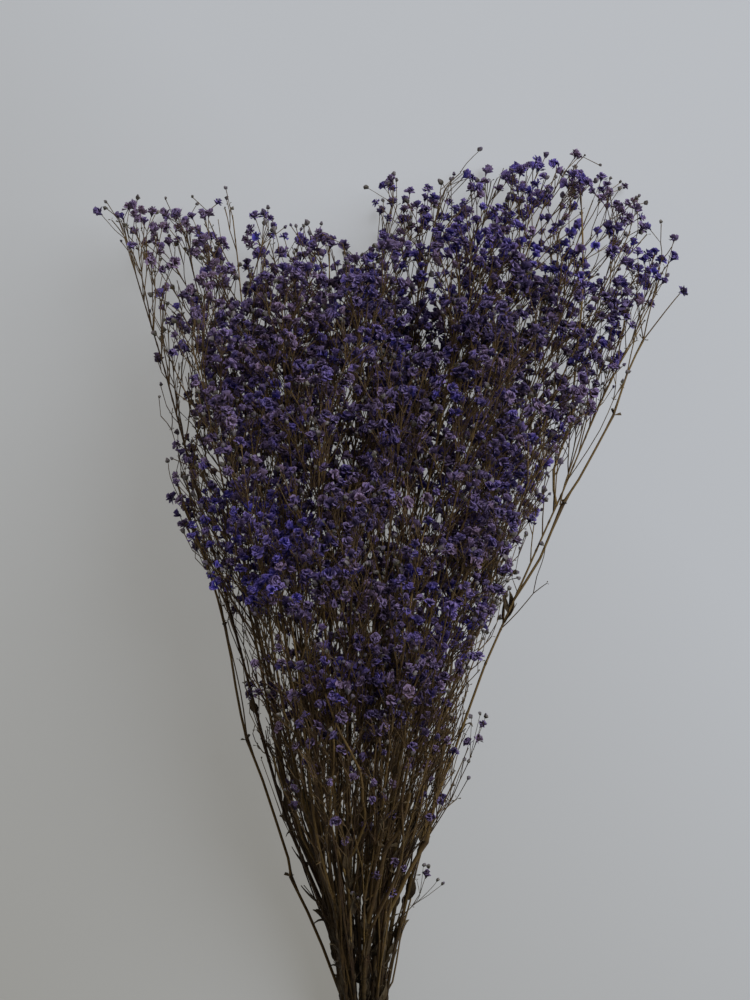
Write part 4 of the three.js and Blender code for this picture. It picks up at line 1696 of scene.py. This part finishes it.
def tubesObject(name, tubes, sides, looks, lookIndex):
    curve = bpy.data.curves.new(name, "CURVE")
    curve.dimensions = "3D"
    curve.bevel_depth = mm
    curve.bevel_resolution = sides // 2 - 2
    curve.use_fill_caps = True
    for look in looks:
        curve.materials.append(look)
    for points, radii, tones in tubes:
        spline = curve.splines.new("POLY")
        spline.points.add(len(points) - 1)
        placed = np.ones((len(points), 4))
        placed[:, :3] = (points + shift) * mm
        spline.points.foreach_set("co", placed.ravel())
        spline.points.foreach_set("radius", radii)
        spline.material_index = lookIndex
    obj = bpy.data.objects.new(name, curve)
    bpy.context.scene.collection.objects.link(obj)
    pick(obj)
    bpy.ops.object.convert(target="MESH")
    obj = bpy.context.object
    # the converted mesh has each tube's two end discs first and then all the rings
    discs = [np.repeat([tones[-1], tones[0]], sides, 0) for _, _, tones in tubes]
    rings = [np.repeat(tones, sides, 0) for _, _, tones in tubes]
    giveTone(obj, np.concatenate(discs + rings))
    editWhole(obj, (bpy.ops.mesh.remove_doubles, {"threshold": 1e-6}))
    return obj


# Materials
def feed(tree, socket, value):
    if isinstance(value, bpy.types.NodeSocket):
        tree.links.new(value, socket)
    else:
        socket.default_value = value


def addNode(tree, kind, inputs=None, **settings):
    node = tree.nodes.new("ShaderNode" + kind)
    for key, value in settings.items():
        setattr(node, key, value)
    for key, value in (inputs or {}).items():
        feed(tree, node.inputs[key], value)
    return node


def newGroup(name, inputs, outputs):
    group = bpy.data.node_groups.new(name, "ShaderNodeTree")
    for label, kind, value in inputs:
        socket = group.interface.new_socket(label, in_out="INPUT", socket_type="NodeSocket" + kind)
        if value is not None:
            socket.default_value = value
    for label, kind in outputs:
        group.interface.new_socket(label, in_out="OUTPUT", socket_type="NodeSocket" + kind)
    return group, group.nodes.new("NodeGroupInput").outputs, group.nodes.new("NodeGroupOutput").inputs


def mixColors(tree, factor, first, second, blend="MIX"):
    mix = addNode(tree, "Mix", data_type="RGBA", blend_type=blend)
    for socket, value in ((mix.inputs[0], factor), (mix.inputs[6], first), (mix.inputs[7], second)):
        feed(tree, socket, value)
    return mix.outputs[2]


def maths(tree, operation, first, second=0.0, third=0.0, clamp=False):
    node = addNode(tree, "Math", operation=operation, use_clamp=clamp)
    for socket, value in zip(node.inputs, (first, second, third)):
        feed(tree, socket, value)
    return node.outputs[0]


def times(tree, first, second):
    return maths(tree, "MULTIPLY", first, second)


# The pair is how steeply the result rises with the value, and what it is where the value is 0
def sloped(tree, value, pair, clamp=False):
    return maths(tree, "MULTIPLY_ADD", value, *pair, clamp=clamp)


# A texture whose scale follows the size that its group is given
def addTexture(group, kind, vector, size, scale, **inputs):
    grain = times(group, size, scale)
    return addNode(group, kind, {"Vector": vector, "Scale": grain, **inputs}).outputs


# how often each pattern repeats in a metre
grains = {"broad": 260.0, "fine": 1500.0, "folds": 900.0, "streak": 700.0, "fibre": 3200.0}


def dryMottleGroup():
    group, given, out = newGroup(
        "dryMottle",
        [("Vector", "Vector", None), ("Size", "Float", 1.0), ("Wrinkle", "Float", 1.0)],
        [("Blotch", "Float"), ("Grain", "Float"), ("Height", "Float")],
    )
    vector, size = given["Vector"], given["Size"]
    broad = addTexture(group, "TexNoise", vector, size, grains["broad"], Detail=3.0, Roughness=0.6)
    fine = addTexture(group, "TexNoise", vector, size, grains["fine"], Detail=4.0, Roughness=0.65)[0]
    folds = addTexture(group, "TexVoronoi", vector, size, grains["folds"])
    blotch = addNode(group, "MapRange", {"Value": broad[0], 1: 0.3, 2: 0.7})
    wrinkled = times(group, folds["Distance"], given["Wrinkle"])
    height = maths(group, "ADD", wrinkled, times(group, fine, 0.6))
    for label, value in (("Blotch", blotch.outputs[0]), ("Grain", fine), ("Height", height)):
        group.links.new(value, out[label])
    return group


def fibreGrainGroup():
    group, given, out = newGroup(
        "fibreGrain",
        [("Vector", "Vector", None), ("Stretch", "Float", 0.06), ("Size", "Float", 1.0)],
        [("Streak", "Float"), ("Fibre", "Float"), ("Height", "Float")],
    )
    parts = addNode(group, "SeparateXYZ", {0: given["Vector"]})
    drawn = times(group, parts.outputs[1], given["Stretch"])
    vector = addNode(group, "CombineXYZ", {0: parts.outputs[0], 1: drawn, 2: parts.outputs[2]}).outputs[0]
    size = given["Size"]
    streak = addTexture(group, "TexNoise", vector, size, grains["streak"], Detail=2.0)[0]
    fibre = addTexture(group, "TexNoise", vector, size, grains["fibre"], Detail=3.0, Roughness=0.7)[0]
    height = maths(group, "ADD", fibre, times(group, streak, 0.7))
    for label, value in (("Streak", streak), ("Fibre", fibre), ("Height", height)):
        group.links.new(value, out[label])
    return group


# how much the dye wavers with the blotches, where its colour turns from deep to bright, and how
# much the blotches fade it
dyeForm = {"waver": 0.5, "turns": (0.15, 0.95), "wear": 0.35}


def dyeTakenGroup():
    # how much dye a place took, and what that does to its colour
    group, given, out = newGroup(
        "dyeTaken",
        [("Deep", "Color", None), ("Bright", "Color", None), ("Undyed", "Color", None),
         ("Dye", "Float", 0.5), ("Fade", "Float", 0.2), ("Blotch", "Float", 0.5)],
        [("Color", "Color")],
    )
    more = maths(group, "SUBTRACT", given["Blotch"], 0.5)
    less = maths(group, "SUBTRACT", 0.5, given["Blotch"])
    wavered = maths(group, "MULTIPLY_ADD", more, dyeForm["waver"], given["Dye"])
    low, high = dyeForm["turns"]
    soaked = addNode(group, "MapRange", {"Value": wavered, 1: low, 2: high},
                     interpolation_type="SMOOTHSTEP")
    dyed = mixColors(group, soaked.outputs[0], given["Deep"], given["Bright"])
    worn = maths(group, "MULTIPLY_ADD", less, dyeForm["wear"], given["Fade"], clamp=True)
    group.links.new(mixColors(group, worn, dyed, given["Undyed"]), out["Color"])
    return group


groups = {"mottle": dryMottleGroup(), "fibre": fibreGrainGroup(), "dye": dyeTakenGroup()}


def useGroup(tree, key, **inputs):
    node = tree.nodes.new("ShaderNodeGroup")
    node.node_tree = groups[key]
    for label, value in inputs.items():
        feed(tree, node.inputs[label], value)
    return node.outputs


def newMaterial(name, roughness, specular=0.3):
    material = bpy.data.materials.new(name)
    material.use_nodes = True
    tree = material.node_tree
    shader = tree.nodes["Principled BSDF"]
    shader.inputs["Roughness"].default_value = roughness
    shader.inputs["Specular IOR Level"].default_value = specular
    place = addNode(tree, "TexCoord").outputs["Object"]
    attribute = addNode(tree, "Attribute", attribute_name="tone")
    tone = addNode(tree, "SeparateColor", {0: attribute.outputs["Color"]}).outputs
    return material, tree, shader, place, tone


def shaded(tree, colour, shade):
    shades = addNode(tree, "CombineColor", {0: shade, 1: shade, 2: shade}).outputs[0]
    return mixColors(tree, 1.0, colour, shades, "MULTIPLY")


# How rough it is follows its grain; bump is how deep its height goes, and how strongly it shows
def finishLook(tree, shader, look, colour, grain, height):
    tree.links.new(colour, shader.inputs["Base Color"])
    rough = sloped(tree, grain, look["rough"])
    tree.links.new(rough, shader.inputs["Roughness"])
    distance, strength = look["bump"]
    bump = addNode(tree, "Bump", {"Height": height, "Distance": distance, "Strength": strength})
    tree.links.new(bump.outputs[0], shader.inputs["Normal"])


# Pairs such as grainShade and rough in the looks below are those that sloped takes
petalLook = {
    "deep": (0.045, 0.027, 0.097, 1),
    "bright": (0.062, 0.049, 0.49, 1),
    "undyed": (0.28, 0.175, 0.22, 1),
    "edge": (0.38, 0.28, 0.54, 1),
    "edgeAmount": 0.42,
    "edgePower": 4.0,  # the higher, the narrower its pale edge
    "edgeGrain": (1.2, 0.3),
    "grainShade": (0.7, 0.62),
    # painted shade: a petal is darker towards its foot, deep in the flower
    "footShade": (0.85, 0.15),
    "rough": (0.3, 0.58),
    "bump": (0.0004, 0.5),
}


def petalMaterial():
    material, tree, shader, place, tone = newMaterial("dyedPetal", 0.72)
    mottle = useGroup(tree, "mottle", Vector=place, Size=1.0, Wrinkle=1.0)
    colour = useGroup(tree, "dye", Deep=petalLook["deep"], Bright=petalLook["bright"],
                      Undyed=petalLook["undyed"], Dye=tone[0], Fade=tone[1], Blotch=mottle["Blotch"])
    rim = maths(tree, "POWER", tone[2], petalLook["edgePower"])
    rim = times(tree, rim, petalLook["edgeAmount"])
    rim = times(tree, rim, sloped(tree, mottle["Grain"], petalLook["edgeGrain"]))
    colour = mixColors(tree, rim, colour["Color"], petalLook["edge"])
    shade = sloped(tree, mottle["Grain"], petalLook["grainShade"])
    # painted shade towards each petal's foot
    shade = times(tree, shade, sloped(tree, tone[2], petalLook["footShade"]))
    finishLook(tree, shader, petalLook, shaded(tree, colour, shade), mottle["Grain"], mottle["Height"])
    return material


calyxLook = {
    "foot": (0.11, 0.095, 0.055, 1),
    "dyed": (0.08, 0.055, 0.11, 1),
    "tip": (0.4, 0.34, 0.31, 1),
    "dyedTip": (0.13, 0.09, 0.2, 1),
    "tipPower": 2.2,
    "tipFade": (0.9, 0.18),
    "grainShade": (0.8, 0.6),
    "rough": (0.25, 0.6),
    "bump": (0.0003, 0.6),
}


def calyxMaterial():
    material, tree, shader, place, tone = newMaterial("budAndCalyx", 0.75)
    mottle = useGroup(tree, "mottle", Vector=place, Size=1.4, Wrinkle=0.5)
    body = useGroup(tree, "dye", Deep=calyxLook["foot"], Bright=calyxLook["dyed"],
                    Undyed=calyxLook["foot"], Dye=tone[0], Fade=tone[1], Blotch=mottle["Blotch"])
    top = maths(tree, "POWER", tone[2], calyxLook["tipPower"])
    paleness = sloped(tree, tone[1], calyxLook["tipFade"])
    topColour = mixColors(tree, paleness, calyxLook["dyedTip"], calyxLook["tip"])
    colour = mixColors(tree, top, body["Color"], topColour)
    shade = sloped(tree, mottle["Grain"], calyxLook["grainShade"])
    finishLook(tree, shader, calyxLook, shaded(tree, colour, shade), mottle["Grain"], mottle["Height"])
    return material


barkLook = {
    "old": (0.022, 0.011, 0.005, 1),
    "rust": (0.12, 0.05, 0.016, 1),
    "olive": (0.235, 0.142, 0.032, 1),
    "straw": (0.3, 0.188, 0.068, 1),
    "stained": (0.06, 0.032, 0.034, 1),
    "knot": (0.05, 0.026, 0.012, 1),
    "streaks": 1.2,
    "rustAmount": 0.35,
    "youngStraw": (0.8, 0.2),
    "knotPower": 1.5,
    "knotAmount": 0.75,
    "fibreShade": (0.9, 0.52),
    "lowShade": (3.0, 0.12),  # painted shade, darker towards a stem's foot where stems hide each other: its second value is how dark a stem is at its foot
    "rough": (0.35, 0.48),
}


def barkMaterial(name, stain, bumpDepth):
    material, tree, shader, place, tone = newMaterial(name, 0.66)
    fibre = useGroup(tree, "fibre", Vector=place, Stretch=0.05, Size=1.0)
    mottle = useGroup(tree, "mottle", Vector=place, Size=0.25, Wrinkle=0.2)
    streaks = maths(tree, "SUBTRACT", fibre["Streak"], 0.5)
    aged = maths(tree, "MULTIPLY_ADD", streaks, barkLook["streaks"], tone[0], clamp=True)
    colour = mixColors(tree, aged, barkLook["old"], barkLook["olive"])
    rust = times(tree, mottle["Blotch"], barkLook["rustAmount"])
    colour = mixColors(tree, rust, colour, barkLook["rust"])
    young = times(tree, tone[1], sloped(tree, tone[0], barkLook["youngStraw"]))
    colour = mixColors(tree, young, colour, barkLook["straw"])
    stained = times(tree, times(tree, mottle["Blotch"], tone[1]), stain)
    colour = mixColors(tree, stained, colour, barkLook["stained"])
    knot = maths(tree, "POWER", tone[2], barkLook["knotPower"])
    knot = times(tree, knot, barkLook["knotAmount"])
    colour = mixColors(tree, knot, colour, barkLook["knot"])
    shade = sloped(tree, fibre["Fibre"], barkLook["fibreShade"])
    # painted shade: darker where the tone says a stem is near its foot
    lowShade = sloped(tree, tone[1], barkLook["lowShade"], clamp=True)
    shade = times(tree, shade, lowShade)
    look = {**barkLook, "bump": (bumpDepth, 0.5)}
    finishLook(tree, shader, look, shaded(tree, colour, shade), fibre["Fibre"], fibre["Height"])
    return material


leafLook = {
    "dry": (0.16, 0.105, 0.045, 1),
    "dark": (0.036, 0.021, 0.011, 1),
    "vein": (0.22, 0.17, 0.09, 1),
    "veinAmount": 0.6,
    "veinEnds": (0.1, 0.02),  # how far from the middle it begins and is full
    "lines": 60.0,
    "lineShade": 0.08,
    "lineHeight": 0.4,
    "grainShade": (0.7, 0.6),
    "rough": (0.3, 0.55),
    "bump": (0.0003, 0.6),
}


def leafMaterial():
    material, tree, shader, place, tone = newMaterial("dryLeaf", 0.7)
    # the third value of tone runs 0 to 1 across the leaf
    across = maths(tree, "ABSOLUTE", maths(tree, "SUBTRACT", tone[2], 0.5))
    outer, inner = leafLook["veinEnds"]
    vein = addNode(tree, "MapRange", {"Value": across, 1: outer, 2: inner}).outputs[0]
    lines = maths(tree, "SINE", times(tree, tone[2], leafLook["lines"]))
    mottle = useGroup(tree, "mottle", Vector=place, Size=0.5, Wrinkle=0.8)
    blotch = times(tree, mottle["Blotch"], 0.5)
    aged = maths(tree, "MULTIPLY_ADD", tone[0], 0.5, blotch, clamp=True)
    colour = mixColors(tree, aged, leafLook["dark"], leafLook["dry"])
    vein = times(tree, vein, leafLook["veinAmount"])
    colour = mixColors(tree, vein, colour, leafLook["vein"])
    shade = sloped(tree, mottle["Grain"], leafLook["grainShade"])
    shade = maths(tree, "MULTIPLY_ADD", lines, leafLook["lineShade"], shade)
    height = maths(tree, "MULTIPLY_ADD", lines, leafLook["lineHeight"], mottle["Height"])
    finishLook(tree, shader, leafLook, shaded(tree, colour, shade), mottle["Grain"], height)
    return material


pithLook = {
    "pith": (0.5, 0.42, 0.27, 1),
    "ring": (0.2, 0.14, 0.06, 1),
    "rough": (0.2, 0.75),
    "bump": (0.0003, 0.8),
}


def pithMaterial():
    material, tree, shader, place, tone = newMaterial("cutPith", 0.85)
    mottle = useGroup(tree, "mottle", Vector=place, Size=1.6, Wrinkle=1.0)
    colour = mixColors(tree, mottle["Blotch"], pithLook["ring"], pithLook["pith"])
    finishLook(tree, shader, pithLook, colour, mottle["Grain"], mottle["Height"])
    return material


rubberLook = {
    "fresh": (0.62, 0.48, 0.27, 1),
    "aged": (0.42, 0.29, 0.14, 1),
    "dust": (0.62, 0.57, 0.5, 1),
    "dustEnds": (0.55, 0.75),  # the grain where it begins and is full
    "dustAmount": 0.4,
    "rough": (0.35, 0.33),
    "bump": (0.0002, 0.35),
}


def rubberMaterial():
    material, tree, shader, place, tone = newMaterial("elasticRubber", 0.5, 0.45)
    mottle = useGroup(tree, "mottle", Vector=place, Size=0.5, Wrinkle=0.3)
    colour = mixColors(tree, mottle["Blotch"], rubberLook["fresh"], rubberLook["aged"])
    low, high = rubberLook["dustEnds"]
    amount = rubberLook["dustAmount"]
    dust = addNode(tree, "MapRange", {"Value": mottle["Grain"], 1: low, 2: high, 4: amount}).outputs[0]
    colour = mixColors(tree, dust, colour, rubberLook["dust"])
    finishLook(tree, shader, rubberLook, colour, mottle["Grain"], mottle["Height"])
    return material


looks = {
    "petal": petalMaterial(),
    "calyx": calyxMaterial(),
    "bark": barkMaterial("stemBark", 0.25, 0.0004),
    "twig": barkMaterial("twigBark", 0.7, 0.0002),
    "leaf": leafMaterial(),
    "pith": pithMaterial(),
    "rubber": rubberMaterial(),
}
print("materials mixed:", ", ".join(looks))

# Growing all the stems: each is a piece of stem, twigs and leaves, and a piece of flowers
plants = [None] * len(stems)
for index in sorted(range(len(stems)), key=lambda k: -stems[k][1]):
    plants[index] = growPlant(index)
bloomCount = sum(len(plant["blooms"]) for plant in plants)
budCount = sum(bloom[0] == "bud" for plant in plants for bloom in plant["blooms"])
twigCount = sum(len(plant["twig"]) + len(plant["branch"]) for plant in plants)
print("stems grown, with", bloomCount - budCount, "flowers,", budCount, "buds and", twigCount, "twigs")

for index, plant in enumerate(plants):
    number = f"{index + 1:02d}"
    wood = [looks["bark"], looks["twig"], looks["leaf"], looks["pith"]]
    parts = [
        tubesObject(f"stem_{number}_twigs", plant["stem"], 8, wood, 0),
        tubesObject("branches", plant["branch"], 6, wood, 1),
        tubesObject("stalks", plant["twig"], 4, wood, 1),
        meshObject("leaves", *stampAll(plant["leaves"], stampLeaf), wood),
    ]
    pick(*parts)
    bpy.ops.object.join()
    twigs = bpy.context.object
    twigs.name = f"stem_{number}_twigs"
    bpy.ops.object.shade_smooth_by_angle(angle=math.radians(50))
    cutPlace = (traces[index][0][1] + shift[1]) * mm
    # a stem's cut end shows its pith
    for face in twigs.data.polygons:
        if face.material_index == 0 and face.normal.y < -0.9 and face.center.y < cutPlace + mm:
            face.material_index = 3
    giveBakeMap(twigs)
    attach(twigs, "root")
    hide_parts(f"stem_{number}")

    flowers = meshObject(f"stem_{number}_flowers", *stampAll(plant["blooms"], stampBloom),
                         [looks["petal"], looks["calyx"]])
    giveBakeMap(flowers)
    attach(flowers, "root")
    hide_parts(f"stem_{number}")
print("stems and flowers made")


def bandReach(turn, offset):
    towards = np.array([math.cos(turn), math.sin(turn)])
    reaches = [place @ towards + baseRadii[i] for i, place in enumerate(bandPlaces)]
    outermost = int(np.argmax(reaches))
    return bandPlaces[outermost] + towards * (baseRadii[outermost] + offset)


def bandStrand(placeAt, offsetAt):
    # one turn of the band, drawn out from a ring and given its thickness
    startFresh()
    bpy.ops.mesh.primitive_circle_add(
        vertices=bandForm["corners"], radius=0.01, rotation=(math.pi / 2, 0, 0))
    strand = bpy.context.object
    bpy.ops.object.transform_apply(location=True, rotation=True, scale=True)
    width = bandForm["strandWidth"]
    for vertex in strand.data.vertices:
        turn = math.atan2(vertex.co.z, vertex.co.x)
        place = bandReach(turn, offsetAt(turn))
        y = placeAt(turn) - width / 2
        vertex.co = (np.array([place[0], y, bandCenterZ + place[1]]) + shift) * mm
    editWhole(
        strand,
        (bpy.ops.mesh.extrude_region_move, {"TRANSFORM_OT_translate": {"value": (0, width * mm, 0)}}),
        (bpy.ops.mesh.normals_make_consistent, {"inside": False}),
    )
    applyModifier(strand, "SOLIDIFY", thickness=bandForm["strandThickness"] * mm, offset=1)
    applyModifier(strand, "BEVEL", width=bandForm["edge"] * mm, segments=2,
                  limit_method="ANGLE", angle_limit=math.radians(50))
    return strand


def crossing(turn):
    # 1 over the top of the bundle, 0 round its other sides
    away = abs((turn - math.pi / 2 + math.pi) % fullTurn - math.pi)
    return max(0.0, 0.5 + 0.5 * math.cos(min(away / bandForm["crossingHalf"], 1) * math.pi))


strands = [bandStrand(lambda turn, y=y: y, lambda turn: bandForm["strandGap"])
           for y in bandForm["strandPlaces"]]
strands.append(bandStrand(
    lambda turn: bandForm["crossingStart"] + bandForm["crossingWay"] * crossing(turn),
    lambda turn: bandForm["strandGap"] + bandForm["crossingLift"] * min(crossing(turn) * 3, 1),
))
pick(*strands)
bpy.ops.object.join()
band = bpy.context.object
band.name = "tie_band"
band.data.materials.clear()
band.data.materials.append(looks["rubber"])
bpy.ops.object.shade_smooth_by_angle(angle=math.radians(40))
giveTone(band, (0, 0, 0))
giveBakeMap(band)
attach(band, "root")
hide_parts("elastic_band")
print("band made")

# Floor, light and camera
studio = {
    "floor": (0.28, 0.283, 0.29, 1),
    "floorShade": (0.03, 0.985),
    "floorSize": 9,
    "cameraHeight": 1.62,
    "planeHeight": 0.06,  # the height at which the frame is 600 mm high
    "frameHeight": 0.6,
    "frameCenter": (6, 366),  # millimetres from the band
    "keyPlace": (1.85, 1.35, 2.2),
    "keySize": 2.6,
    "keyPower": 86,
    "keyColor": (0.85, 0.91, 1.0),
    "fillPlace": (-1.2, 1.2, 1.3),
    "fillSize": 3,
    "fillPower": 5,
    "fillColor": (1.0, 0.95, 0.86),
    # the floor gives some light too, so its shadows are soft: less at the lower left
    "dimGlow": (0.165, 0.15, 0.11, 1),
    "fullGlow": (0.31, 0.315, 0.32, 1),
    "glowEnds": (-0.6, 0.3),
    "sky": (0.62, 0.68, 0.78, 1),
    "skyStrength": 0.05,
}


def floorMaterial():
    material, tree, shader, place, tone = newMaterial("paleFloor", 0.85, 0.2)
    noise = addNode(tree, "TexNoise", {"Vector": place, "Scale": 3.0, "Detail": 2.0})
    soft = sloped(tree, noise.outputs[0], studio["floorShade"])
    tree.links.new(shaded(tree, studio["floor"], soft), shader.inputs["Base Color"])
    axes = addNode(tree, "SeparateXYZ", {0: place}).outputs
    low, high = studio["glowEnds"]
    upRight = addNode(tree, "MapRange", {"Value": maths(tree, "ADD", axes[0], axes[1]), 1: low, 2: high})
    glow = mixColors(tree, upRight.outputs[0], studio["dimGlow"], studio["fullGlow"])
    tree.links.new(glow, shader.inputs["Emission Color"])
    shader.inputs["Emission Strength"].default_value = 1
    return material


startFresh()
bpy.ops.mesh.primitive_plane_add(size=studio["floorSize"])
floor = bpy.context.object
floor.name = "floor"
floor.data.materials.append(floorMaterial())


def softLight(name, place, size, power, colour, target):
    startFresh()
    bpy.ops.object.light_add(type="AREA", location=place)
    light = bpy.context.object
    light.name = name
    light.data.shape = "DISK"
    light.data.size = size
    light.data.energy = power
    light.data.color = colour
    away = np.array(place) - np.array(target)
    light.rotation_euler = (
        math.acos(away[2] / np.linalg.norm(away)), 0, math.atan2(away[1], away[0]) + math.pi / 2)


middle = np.array([studio["frameCenter"][0], studio["frameCenter"][1], 0]) * mm + shift * mm
for kind in ("key", "fill"):
    place, size, power, colour = [studio[kind + part] for part in ("Place", "Size", "Power", "Color")]
    softLight(kind + "Light", place, size, power, colour, middle)
world = bpy.data.worlds.new("studio")
world.use_nodes = True
sky = world.node_tree.nodes["Background"].inputs
sky[0].default_value = studio["sky"]
sky[1].default_value = studio["skyStrength"]
bpy.context.scene.world = world
bpy.context.scene.view_settings.view_transform = "Standard"

startFresh()
bpy.ops.object.camera_add(location=(middle[0], middle[1], studio["cameraHeight"]), rotation=(0, 0, 0))
camera = bpy.context.object
camera.data.sensor_width = 36
distance = studio["cameraHeight"] - studio["planeHeight"]
camera.data.lens = camera.data.sensor_width * distance / studio["frameHeight"]
bpy.context.scene.camera = camera
print("studio set")

triangles = sum(len(face.vertices) - 2 for obj in bpy.data.objects
                if obj.type == "MESH" and "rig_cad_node" not in obj for face in obj.data.polygons)
print("triangles:", triangles)
